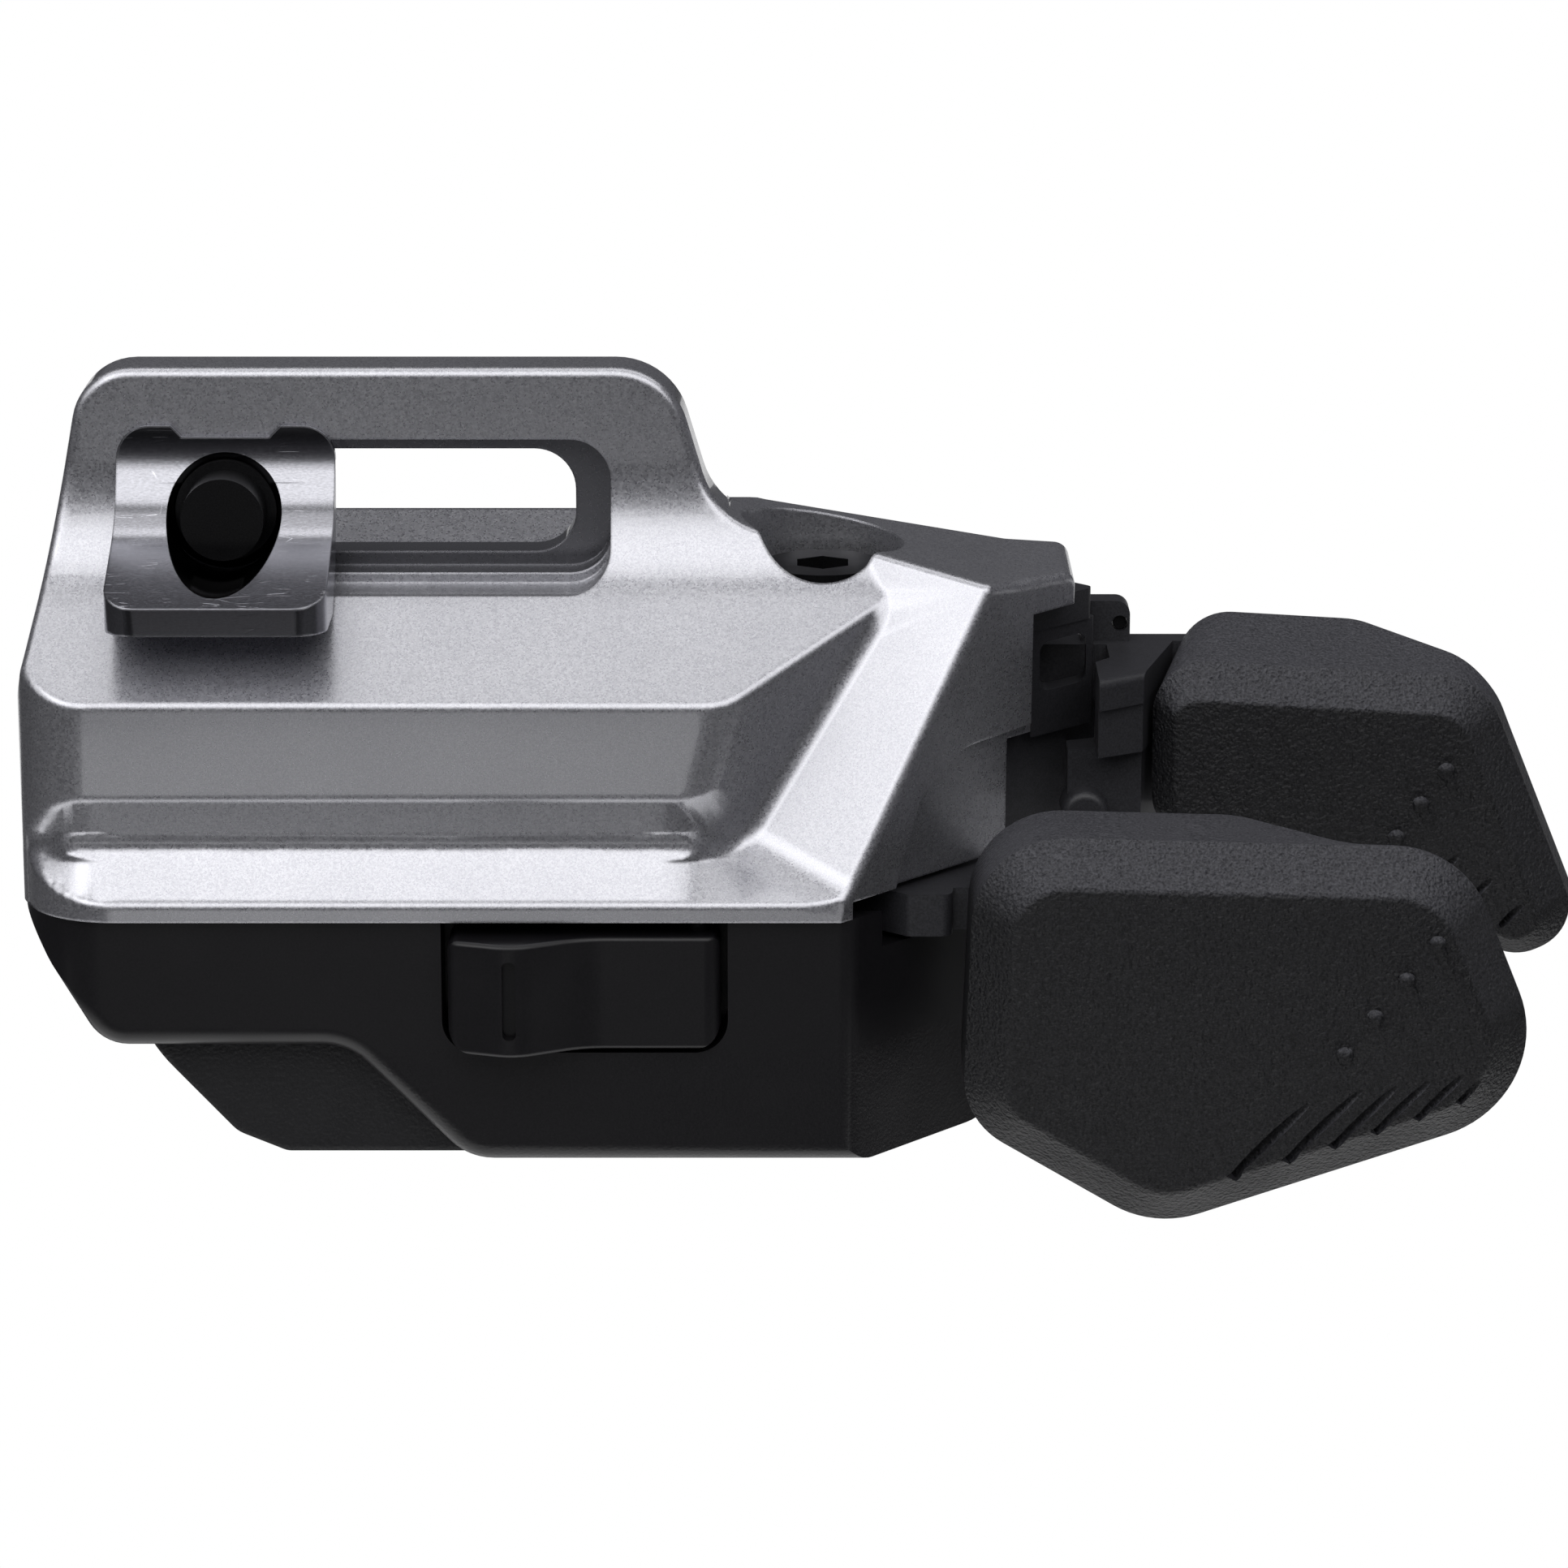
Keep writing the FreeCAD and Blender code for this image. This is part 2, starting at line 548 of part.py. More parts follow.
def hollowed_housing(body):
    """Slot, pocket, pivot recess, side panel, chambers and screw bosses."""
    pocket = prism(pocket_outline(POCKET_WIDTH / 2, POCKET_END), "XZ", PANEL_FRONT, POCKET_FLOOR)
    slot = prism(pocket_outline(SLOT_WIDTH / 2, SLOT_WIDTH / 2 + 1e-4), "XZ", PANEL_FRONT, PLATE_BACK + 1)
    relief_outline = [
        (-POCKET_END, RELIEF_BOTTOM, POCKET_CORNER),
        (SLOT_TRAVEL + POCKET_END, RELIEF_BOTTOM, POCKET_CORNER),
        (SLOT_TRAVEL + POCKET_END, 0, 0),
        (-POCKET_END, 0, 0),
    ]
    relief = prism(relief_outline, "XZ", PANEL_FRONT, PLATE_FRONT)
    recess = post(PIVOT_X, PIVOT_Y, PIVOT_RECESS, PIVOT_SEAT, PLATE_TOP)
    bore = post(PIVOT_X, PIVOT_Y, PIVOT_SHANK + RUN, CHAMBER_TOP - 1, PIVOT_SEAT + 1)
    body = cut(body, pocket, slot, relief, recess, bore)
    panel_outline = [
        (31.6, SIDE_BOTTOM - 3, 0),
        (33.6, -12.9, 2.5),
        (35.6, -11.0, 1.5),
        (RIGHT, -10.6, 0),
        (RIGHT, SIDE_BOTTOM - 3, 0),
    ]
    skin = cut(beyond(ridge_top - side_normal * 0.5, side_normal), beyond(ridge_top + side_normal, side_normal))
    side_panel = prism(panel_outline, "XZ", LIP_FRONT, SHOULDER_REAR).common(skin)
    below_hood = box((SIDE_END, RIGHT + 1), (LIP_FRONT, REAR + 1), (PARTING - 1, HOOD_BOTTOM))
    below_step = box((SIDE_LOWER_END, RIGHT), (LIP_FRONT, REAR + 1), (PARTING - 1, SIDE_STEP))
    arm_gate = box((ridge_bottom.x + 0.4, RIGHT), (LIP_FRONT - 1, REAR + 1), (PARTING - 1, SIDE_BOTTOM))
    hub_gate = box((PIVOT_X - 1.5, ridge_bottom.x + 1), (PIVOT_Y - 7.0, PIVOT_Y), (PARTING - 1, SIDE_BOTTOM))
    rear_outline = [
        (24.2, CREST + 5, 0),
        (24.2, CREST - 0.1, 0),
        (33.0, -4.2, 3.0),
        (RIGHT + 1, -5.4, 0),
        (RIGHT + 1, CREST + 5, 0),
    ]
    rear_cut = prism(rear_outline, "XZ", SHOULDER_REAR, REAR + 1)
    cavity_plan = [
        (LEFT + 2.2, CAVITY_FRONT, 2.0),
        (CAVITY_RIGHT, CAVITY_FRONT, 1.0),
        (CAVITY_RIGHT, REAR - WALL, 0),
        (LEFT + 2.2, REAR - WALL, 2.0),
    ]
    cavity = prism(cavity_plan, "XY", PARTING - 1, CAVITY_TOP)
    chamber_plan = [
        (CAVITY_RIGHT - 1, 4.2, 0),
        (36.2, 4.2, 0.8),
        (40.0, 8.5, 0),
        (RIGHT + 1, 8.5, 0),
        (RIGHT + 1, REAR + 1, 0),
        (36.0, REAR + 1, 0),
        (36.0, REAR - WALL, 0),
        (CAVITY_RIGHT - 1, REAR - WALL, 0),
    ]
    chamber = prism(chamber_plan, "XY", PARTING - 1, CHAMBER_TOP)
    under_hood_plan = [
        (37.2, 5.5, 0),
        (40.0, 8.5, 0),
        (RIGHT + 1, 8.5, 0),
        (RIGHT + 1, REAR + 1, 0),
        (37.2, REAR + 1, 0),
    ]
    under_hood = prism(under_hood_plan, "XY", CHAMBER_TOP - 1, HOOD_BOTTOM)
    hub_room = post(PIVOT_X, PIVOT_Y, HUB_RADIUS + SADDLE_GAP, PARTING - 1, CHAMBER_TOP)
    for x, y in HOUSING_SCREWS:
        boss = post(x, y, 2.0, PARTING - 1, CAVITY_TOP)
        cavity = cut(cavity, boss)
        chamber = cut(chamber, boss)
    for tool in (side_panel, below_hood, below_step, arm_gate, hub_gate, cavity, chamber, hub_room, under_hood,
                 rear_cut):
        body = cut(body, tool)
    for x, y in HOUSING_SCREWS:
        body = cut(body, post(x, y, SCREW_SHANK + RUN, PARTING - 1, PARTING + 5.5))
    return body


nodes["top_housing"] = top_housing()

# Lower housing
gate_floor = LOWER_ARM_BOTTOM - 0.3
screw_seat = LOWER_STEP + 0.1
contact_y = CELL_Y + CELL_RADIUS + 0.02


def lower_housing():
    front = [
        (LOWER_LEFT, PARTING, 0),
        (-5.9, LOWER_STEP, 2.2),
        (5.9, LOWER_STEP, 3.0),
        (11.7, LOWER_BOTTOM, 3.0),
        (LOWER_RIGHT, LOWER_BOTTOM, 2.0),
        (LOWER_RIGHT, PARTING, 0),
    ]
    plan = [
        (LOWER_LEFT, LOWER_FRONT, 4.0),
        (30.3, LOWER_FRONT, 1.5),
        (LOWER_RIGHT, 4.1, 2.0),
        (LOWER_RIGHT, REAR, 3.0),
        (LOWER_LEFT, REAR, 3.0),
    ]
    body = prism(front, "XZ", LOWER_FRONT, REAR)
    edges = [e for e in body.Edges if abs(middle(e).y - LOWER_FRONT) < 1e-3 and middle(e).z < PARTING - 0.5]
    body = body.makeFillet(LOWER_EDGE, edges).common(prism(plan, "XY", LOWER_BOTTOM, PARTING))
    cover_bay = box((LEFT, COVER_RIGHT + RUN), (COVER_FRONT - RUN, REAR + 1), (LOWER_BOTTOM - 1, LOWER_STEP))
    inside = [
        (LOWER_LEFT + 1.7, PARTING + 1, 0),
        (-4.9, TUB_FLOOR, 1.0),
        (COVER_RIGHT + WALL, TUB_FLOOR, 0),
        (COVER_RIGHT + WALL, DEEP_FLOOR, 0.5),
        (LOWER_RIGHT - WALL, DEEP_FLOOR, 1.0),
        (LOWER_RIGHT - WALL, PARTING + 1, 0),
    ]
    inside_plan = [
        (LOWER_LEFT, TUB_FRONT, 0),
        (32.0, TUB_FRONT, 1.0),
        (LOWER_RIGHT - WALL, 4.7, 1.0),
        (LOWER_RIGHT - WALL, REAR - WALL, 2.0),
        (LOWER_LEFT, REAR - WALL, 0),
    ]
    tub = prism(inside, "XZ", TUB_FRONT, REAR - WALL).common(prism(inside_plan, "XY", DEEP_FLOOR, PARTING + 1))
    recess_outline = [
        (BUTTON_LEFT - BUTTON_GAP, BUTTON_BOTTOM - BUTTON_GAP, 1.6),
        (BUTTON_RIGHT + BUTTON_GAP, BUTTON_BOTTOM - BUTTON_GAP, 1.6),
        (BUTTON_RIGHT + BUTTON_GAP, PARTING + 1, 0),
        (BUTTON_LEFT - BUTTON_GAP, PARTING + 1, 0),
    ]
    recess = prism(recess_outline, "XZ", LOWER_FRONT - 1, RECESS_FLOOR)
    arm_gate = box((30.4, LOWER_RIGHT + 1), (LOWER_FRONT + 1.6, 9.0), (gate_floor, PARTING + 1))
    bosses = [post(PIVOT_X, PIVOT_Y, 4.0, LOWER_BOTTOM, LOWER_ARM_BOTTOM - LEVER_GAP)]
    for x, y in BOARD_POSTS:
        bosses.append(post(x, y, 1.0, LOWER_STEP, BOARD_BOTTOM))
    for x, y in HOUSING_SCREWS:
        bosses.append(post(x, y, 2.4, LOWER_BOTTOM, PARTING + 2))
    for x, y in COVER_SCREWS:
        bosses.append(post(x, y, 1.6, LOWER_STEP, LOWER_STEP + 2.6))
    tub = cut(tub, *bosses)
    tub = tub.common(box((LEFT, RIGHT), (LIP_FRONT, REAR), (LOWER_BOTTOM, PARTING + 1)))
    for tool in (cover_bay, recess, arm_gate, tub):
        body = cut(body, tool)
    body = cut(body, box((LEFT, RIGHT), (LIP_FRONT, REAR), (PARTING, PARTING + 3)))
    holes = [
        post(PIVOT_X, PIVOT_Y, NUT_RADIUS, NUT_BOTTOM, NUT_TOP),
        post(PIVOT_X, PIVOT_Y, PIVOT_SHANK + RUN, NUT_TOP - 0.1, PARTING),
        rod(FUNCTION_X, FUNCTION_Z, PLUNGER + 0.25, RECESS_FLOOR - 0.5, TUB_FRONT + 0.5),
        post(BUTTON_PIN_X, BUTTON_PIN_Y, BUTTON_PIN, BUTTON_BOTTOM - 1.1, BUTTON_BOTTOM),
        box((CELL_X - 0.7, CELL_X + 0.7), (CELL_Y - 0.7, CELL_Y + 0.7), (LOWER_STEP - 1, TUB_FLOOR + 1)),
        box((CELL_X - 1.7, CELL_X + 1.7), (contact_y - 0.15, contact_y + 0.45),
            (LOWER_STEP - 1, TUB_FLOOR + 1)),
    ]
    for x, y in HOUSING_SCREWS:
        holes.append(post(x, y, SCREW_SHANK + RUN, LOWER_BOTTOM, PARTING + 1))
        holes.append(post(x, y, SCREW_HEAD + RUN, LOWER_BOTTOM - 1, screw_seat + SCREW_HEAD_HEIGHT))
    for x, y in COVER_SCREWS:
        holes.append(post(x, y, SCREW_SHANK + RUN, LOWER_STEP - 1, LOWER_STEP + 2.3))
    for hole in holes:
        body = cut(body, hole)
    return body


nodes["lower_housing"] = lower_housing()
nodes["pivot_nut"] = cut(post(PIVOT_X, PIVOT_Y, NUT_RADIUS, NUT_BOTTOM, NUT_TOP),
                         post(PIVOT_X, PIVOT_Y, PIVOT_SHANK + 0.02, NUT_BOTTOM, NUT_TOP))


def screw(x, y, seat, length):
    """Upright screw with its head below."""
    head = post(x, y, SCREW_HEAD, seat, seat + SCREW_HEAD_HEIGHT)
    shank = post(x, y, SCREW_SHANK, seat + SCREW_HEAD_HEIGHT, seat + SCREW_HEAD_HEIGHT + length)
    slot_across = box((x - 1.0, x + 1.0), (y - 0.22, y + 0.22), (seat - 1, seat + 0.5))
    slot_along = box((x - 0.22, x + 0.22), (y - 1.0, y + 1.0), (seat - 1, seat + 0.5))
    return cut(joined(head, shank), slot_across, slot_along)


nodes["housing_screws"] = Part.makeCompound(
    [screw(x, y, screw_seat, PARTING + 5.0 - screw_seat - SCREW_HEAD_HEIGHT) for x, y in HOUSING_SCREWS])
cover_screw_seat = LOWER_BOTTOM + 1.2
nodes["battery_cover_screws"] = Part.makeCompound(
    [screw(x, y, cover_screw_seat, LOWER_STEP + 2.0 - cover_screw_seat - SCREW_HEAD_HEIGHT)
     for x, y in COVER_SCREWS])

# Battery cover, seal, cell and contacts
cover_top = LOWER_STEP - RUN


def battery_cover():
    front = [
        (-4.0, cover_top, 0),
        (0.4, -29.6, 1.5),
        (2.8, LOWER_BOTTOM, 1.0),
        (COVER_RIGHT, LOWER_BOTTOM, 0),
        (COVER_RIGHT, cover_top, 0),
    ]
    plan = [
        (-4.0, COVER_FRONT, 1.5),
        (COVER_RIGHT, COVER_FRONT, 0),
        (COVER_RIGHT, COVER_REAR, 0.5),
        (-4.0, COVER_REAR, 1.5),
    ]
    body = prism(front, "XZ", COVER_FRONT, COVER_REAR).common(prism(plan, "XY", LOWER_BOTTOM, cover_top))
    cell_room = post(CELL_X, CELL_Y, CELL_RADIUS + 0.25, CELL_TOP - CELL_HEIGHT - RUN, cover_top)
    contact_room = box((CELL_X - 1.9, CELL_X + 1.9), (CELL_Y + 7.0, contact_y + 0.5), (-28.4, cover_top))
    seal_groove = cut(post(CELL_X, CELL_Y, SEAL_OUTER + RUN, cover_top - SEAL_HEIGHT, cover_top),
                      post(CELL_X, CELL_Y, SEAL_INNER - RUN, cover_top - SEAL_HEIGHT, cover_top))
    body = cut(body, cell_room, contact_room, seal_groove)
    for x, y in COVER_SCREWS:
        body = cut(body, post(x, y, SCREW_SHANK + RUN, LOWER_BOTTOM, cover_top),
                   post(x, y, SCREW_HEAD + 0.1, LOWER_BOTTOM - 1, cover_screw_seat + SCREW_HEAD_HEIGHT))
    return body


nodes["battery_cover"] = battery_cover()
nodes["battery_seal"] = cut(post(CELL_X, CELL_Y, SEAL_OUTER, cover_top - SEAL_HEIGHT, cover_top),
                            post(CELL_X, CELL_Y, SEAL_INNER, cover_top - SEAL_HEIGHT, cover_top))
cell = post(CELL_X, CELL_Y, CELL_RADIUS, CELL_TOP - CELL_HEIGHT, CELL_TOP - 0.25)
nodes["coin_cell"] = joined(cell, post(CELL_X, CELL_Y, CELL_RADIUS - 0.7, CELL_TOP - 0.25, CELL_TOP))
leaf = box((CELL_X - 3.0, CELL_X + 3.0), (CELL_Y - 1.2, CELL_Y + 1.2), (CELL_TOP, CELL_TOP + 0.3))
leaf_post = box((CELL_X - 0.6, CELL_X + 0.6), (CELL_Y - 0.6, CELL_Y + 0.6), (CELL_TOP + 0.3, BOARD_BOTTOM))
nodes["battery_contact_negative"] = joined(leaf, leaf_post)
side_strip = box((CELL_X - 1.6, CELL_X + 1.6), (contact_y, contact_y + 0.3), (-28.0, BOARD_BOTTOM - 0.3))
side_foot = box((CELL_X - 1.6, CELL_X + 1.6), (BOARD_REAR - 1.5, contact_y + 0.3),
                (BOARD_BOTTOM - 0.3, BOARD_BOTTOM))
nodes["battery_contact_positive"] = joined(side_strip, side_foot)

# Boards and switches
board_plan = [
    (1.0, BOARD_FRONT, 0.8),
    (22.6, BOARD_FRONT, 0.8),
    (22.6, BOARD_REAR - 2.0, 0.8),
    (20.6, BOARD_REAR - 2.0, 0),
    (20.6, BOARD_REAR, 0.8),
    (1.0, BOARD_REAR, 0.8),
]
nodes["circuit_board"] = prism(board_plan, "XY", BOARD_BOTTOM, BOARD_TOP)
nodes["radio_module"] = prism([(4.0, 3.6, 0.5), (12.0, 3.6, 0.5), (12.0, 10.4, 0.5), (4.0, 10.4, 0.5)],
                              "XY", BOARD_TOP, BOARD_TOP + 1.8)
nodes["lever_switch_board"] = prism([(17.2, BOARD_TOP, 0.5), (24.2, BOARD_TOP, 0.5), (24.2, -8.5, 0.5),
                                     (17.2, -8.5, 0.5)], "XZ", SWITCH_FACE - BOARD_THICKNESS, SWITCH_FACE)


def lever_switch(z):
    body = box((TAIL_X - 1.6, TAIL_X + 1.6), (SWITCH_FACE, SWITCH_FACE + SWITCH_DEPTH), (z - 1.25, z + 1.25))
    return cut(body, rod(TAIL_X, z, PLUNGER + PLUNGER_FIT, SWITCH_FACE + 0.6, SWITCH_FACE + SWITCH_DEPTH + 1))


def domed_rod(x, z, front, back, dome_front):
    shape = rod(x, z, PLUNGER, front, back)
    end = front if dome_front else back
    rim = [e for e in shape.Edges if abs(middle(e).y - end) < 1e-3 and e.Length > 3]
    return shape.makeFillet(PLUNGER - 0.2, rim)


upper_switch_z = UPPER_ARM_TOP - UPPER_ARM_HEIGHT / 2
lower_switch_z = LOWER_ARM_TOP - LOWER_ARM_HEIGHT / 2
for name, z in (("upper", upper_switch_z), ("lower", lower_switch_z)):
    nodes[name + "_switch"] = lever_switch(z)
    nodes[name + "_plunger"] = domed_rod(TAIL_X, z, SWITCH_FACE + 1.7, TAIL_FRONT - PLUNGER_GAP, False)
function_body = box((FUNCTION_X - 1.8, FUNCTION_X + 1.8), (TUB_FRONT + 0.1, TUB_FRONT + 2.8),
                    (FUNCTION_Z - 1.0, BOARD_BOTTOM))
nodes["function_switch"] = cut(function_body, rod(FUNCTION_X, FUNCTION_Z, PLUNGER + PLUNGER_FIT,
                                                  TUB_FRONT - 1, TUB_FRONT + 2.0))
nodes["function_plunger"] = domed_rod(FUNCTION_X, FUNCTION_Z, BUTTON_BACK + PLUNGER_GAP, TUB_FRONT + 0.9, True)


def function_button():
    """Wave-shaped rocker with a groove where the thumb lands."""
    front = [
        (BUTTON_LEFT, BUTTON_BOTTOM, 1.3),
        (BUTTON_RIGHT, BUTTON_BOTTOM, 1.3),
        (BUTTON_RIGHT, BUTTON_TOP, 0.6),
        (BUTTON_LEFT, BUTTON_TOP, 0.6),
    ]
    plan = [
        (BUTTON_LEFT, BUTTON_BACK, 0),
        (BUTTON_LEFT, BUTTON_FLAT - 0.6, 0.8),
        (BUTTON_LEFT + 3.2, BUTTON_CREST, 2.5),
        (BUTTON_LEFT + 6.6, BUTTON_FLAT, 4.0),
        (BUTTON_RIGHT, BUTTON_FLAT, 0.8),
        (BUTTON_RIGHT, BUTTON_BACK, 0),
    ]
    wave = prism(plan, "XY", BUTTON_BOTTOM, BUTTON_TOP)
    level = [e for e in wave.Edges if abs(e.tangentAt(e.FirstParameter).z) < 0.9]
    rim = [e for e in level if middle(e).y < BUTTON_BACK - 0.1]
    wave = wave.makeFillet(BUTTON_EDGE, rim)
    body = prism(front, "XZ", BUTTON_CREST - 1, BUTTON_BACK).common(wave)
    groove_outline = [
        (BUTTON_LEFT + 2.65, BUTTON_BOTTOM + 0.9, 0.3),
        (BUTTON_LEFT + 3.3, BUTTON_BOTTOM + 0.9, 0.3),
        (BUTTON_LEFT + 3.3, BUTTON_TOP - 0.8, 0.3),
        (BUTTON_LEFT + 2.65, BUTTON_TOP - 0.8, 0.3),
    ]
    groove = prism(groove_outline, "XZ", BUTTON_CREST - 1, BUTTON_CREST + 0.75)
    pin_hole = post(BUTTON_PIN_X, BUTTON_PIN_Y, BUTTON_PIN + RUN, BUTTON_BOTTOM - 1, BUTTON_TOP + 1)
    return cut(body, groove, pin_hole)


nodes["function_button"] = function_button()
nodes["button_pin"] = post(BUTTON_PIN_X, BUTTON_PIN_Y, BUTTON_PIN, BUTTON_BOTTOM - 1.05, PARTING - RUN)

# Pivot bolt and bushes
pivot = joined(post(PIVOT_X, PIVOT_Y, PIVOT_HEAD, PIVOT_SEAT, PIVOT_SEAT + PIVOT_HEAD_HEIGHT),
               post(PIVOT_X, PIVOT_Y, PIVOT_SHANK, PIVOT_END, PIVOT_SEAT))
pivot_socket = hex_socket(PIVOT_SOCKET, PIVOT_SEAT + PIVOT_HEAD_HEIGHT - 1.4, 0)
pivot_socket.translate(Vector(PIVOT_X, PIVOT_Y, 0))
nodes["pivot_bolt"] = cut(pivot, pivot_socket)


def bush(low, high):
    return cut(post(PIVOT_X, PIVOT_Y, BUSH, low, high), post(PIVOT_X, PIVOT_Y, PIVOT_SHANK + RUN, low, high))


nodes["upper_bush"] = bush(SLEEVE_TOP, CHAMBER_TOP)
nodes["lower_bush"] = bush(LOWER_ARM_BOTTOM - LEVER_GAP, SLEEVE_BOTTOM)


def lever_bracket():
    """Sleeve, web, window plate and cap that carry the levers' outer end."""
    sleeve = post(PIVOT_X, PIVOT_Y, BUSH, SLEEVE_BOTTOM, SLEEVE_TOP)
    web_plan = [
        (PIVOT_X - 3.5, PIVOT_Y - 1.5, 1.0),
        (PIVOT_X, 4.35, 0),
        (36.0, 4.35, 0),
        (41.0, 10.0, 0),
        (38.0, 12.0, 1.0),
        (PIVOT_X, 10.4, 1.0),
        (PIVOT_X - 3.5, PIVOT_Y + 2.0, 1.0),
    ]
    web = prism(web_plan, "XY", -15.2, -13.3)
    column_left = SIDE_LOWER_END + RUN
    column_plan = [(column_left, 5.6, 0), (41.2, 8.85, 0.3), (40.4, 9.7, 0), (column_left, 7.2, 0)]
    column = prism(column_plan, "XY", SIDE_BOTTOM, SIDE_STEP - RUN)
    plate_plan = [(BRACKET_LEFT, 5.95, 0), (42.5, 9.35, 0.3), (41.8, 10.05, 0), (BRACKET_LEFT, 7.6, 0)]
    plate = prism(plate_plan, "XY", SIDE_STEP - 0.6, HOOD_BOTTOM - 1.6)
    cap_plan = [
        (BRACKET_LEFT, 5.7, 0),
        (42.4, 9.0, 0.5),
        (41.3, 10.1, 0),
        (40.8, 13.5, 0.5),
        (37.4, 13.5, 0),
        (37.4, 6.0, 0),
        (BRACKET_LEFT, 7.8, 0),
    ]
    cap = prism(cap_plan, "XY", HOOD_BOTTOM - 1.6, HOOD_BOTTOM - RUN)
    window_outline = [(39.6, -9.8, 0.5), (42.0, -9.8, 0.5), (42.0, -7.3, 0.5), (39.6, -7.3, 0.5)]
    window = prism(window_outline, "XZ", 4.0, 11.0)
    body = cut(joined(sleeve, web, column, plate, cap), window)
    return cut(body, post(PIVOT_X, PIVOT_Y, PIVOT_SHANK + RUN, SLEEVE_BOTTOM, SLEEVE_TOP))


nodes["lever_bracket"] = lever_bracket()


def return_spring(low):
    """Flat wire bent once round the sleeve."""
    high = low + SPRING_WIRE
    ring = cut(post(PIVOT_X, PIVOT_Y, BUSH + 0.9, low, high), post(PIVOT_X, PIVOT_Y, BUSH + 0.3, low, high))
    ring = cut(ring, box((PIVOT_X, PIVOT_X + 9), (PIVOT_Y - 1.6, PIVOT_Y + 1.6), (low, high)))
    leg_back = box((PIVOT_X + 3.2, PIVOT_X + 6.2), (PIVOT_Y + 1.5, PIVOT_Y + 2.1), (low, high))
    leg_front = box((PIVOT_X + 3.2, PIVOT_X + 6.2), (PIVOT_Y - 2.1, PIVOT_Y - 1.5), (low, high))
    return joined(ring, leg_back, leg_front)


nodes["upper_spring"] = return_spring(SLEEVE_TOP - 0.9)
nodes["lower_spring"] = return_spring(SLEEVE_BOTTOM + 0.2)


def hub(low, high):
    return post(PIVOT_X, PIVOT_Y, HUB_RADIUS, low, high)


def tail(low, high):
    return box((TAIL_X - 1.0, PIVOT_X - 2), (TAIL_FRONT, TAIL_FRONT + 2.0), (low + 0.2, high - 0.2))


def hub_bore(low, high):
    return post(PIVOT_X, PIVOT_Y, HUB_BORE, low - 1, high + 1)


def block_step(back, left, low, high):
    """One step of the upper lever's outer block, set back from its front."""
    reach = UPPER_PADDLE_BACK + RUN
    lean = UPPER_LEAN.x * (reach - BLOCK_FRONT - 1.7)
    plan = [
        (left, BLOCK_FRONT + back, 0),
        (BLOCK_OUTER, BLOCK_FRONT + 1.7 + back * 0.4, 0),
        (BLOCK_OUTER + lean, reach, 0),
        (BLOCK_INNER, reach, 0),
        (BLOCK_INNER, BLOCK_FRONT + 5.0, 0),
        (left, BLOCK_FRONT + 4.1, 0),
    ]
    return prism(plan, "XY", low, high)


def upper_lever_arm():
    """Hub, arm and stepped outer block, with a flange behind the paddle."""
    low, high = UPPER_ARM_BOTTOM, UPPER_ARM_TOP
    plan = [
        (PIVOT_X - 1.0, PIVOT_Y + 2.4, 0),
        (PIVOT_X + 2.6, PIVOT_Y - 1.8, 0),
        (35.5, 10.3, 1.0),
        (BLOCK_RIGHT, 10.3, 0),
        (BLOCK_RIGHT, UPPER_FLANGE_BACK, 0),
        (35.0, UPPER_FLANGE_BACK, 2.0),
    ]
    arm = prism(plan, "XY", low, high)
    top = block_step(0, BLOCK_LEFT, BLOCK_STEP, high)
    crown = [e for e in top.Edges if abs(middle(e).z - high) < 1e-3 and middle(e).y < BLOCK_FRONT + 1.2]
    top = top.makeFillet(BLOCK_EDGE, crown)
    mid = block_step(0.6, BLOCK_LEFT, BLOCK_FOOT, BLOCK_STEP)
    foot = block_step(2.2, BLOCK_LEFT - 1.4, BLOCK_BOTTOM, BLOCK_FOOT)
    depth = (UPPER_PADDLE_BACK + RUN, UPPER_FLANGE_BACK)
    web = box((BOSS_LEFT - 1.55, BLOCK_RIGHT), depth, (BLOCK_BOTTOM, high))
    stop = rod(STOP_X, BLOCK_BOTTOM + 0.3, STOP_RADIUS, STOP_FRONT, STOP_FRONT + 2.6)
    stop = stop.makeFillet(BLOCK_EDGE, [e for e in stop.Edges if abs(middle(e).y - STOP_FRONT) < 1e-3])
    boss = prism([(BOSS_LEFT, high - 0.5, 0), (BOSS_RIGHT, high - 0.5, 0), (BOSS_RIGHT, BOSS_TOP, 0.7),
                  (BOSS_LEFT, BOSS_TOP, 0)], "XZ", *depth)
    flange = prism([(BLOCK_RIGHT - 0.5, BLOCK_BOTTOM, 0), (UPPER_FLANGE_RIGHT, BLOCK_BOTTOM, 1.5),
                    (UPPER_FLANGE_RIGHT, high, 1.5), (BLOCK_RIGHT - 0.5, high, 0)], "XZ", *depth)
    body = joined(arm, hub(low, high), tail(low, high), top, mid, foot, web, stop, boss, flange)
    tools = [hub_bore(low, high), rod(ADJUST_X, ADJUST_Z, ADJUST_RADIUS + RUN, 10.0, UPPER_FLANGE_BACK + 1)]
    for x, z in UPPER_SCREWS:
        tools.append(rod(x, z, SCREW_SHANK + RUN, UPPER_PADDLE_BACK, UPPER_FLANGE_BACK + 1))
    return cut(body, *tools)


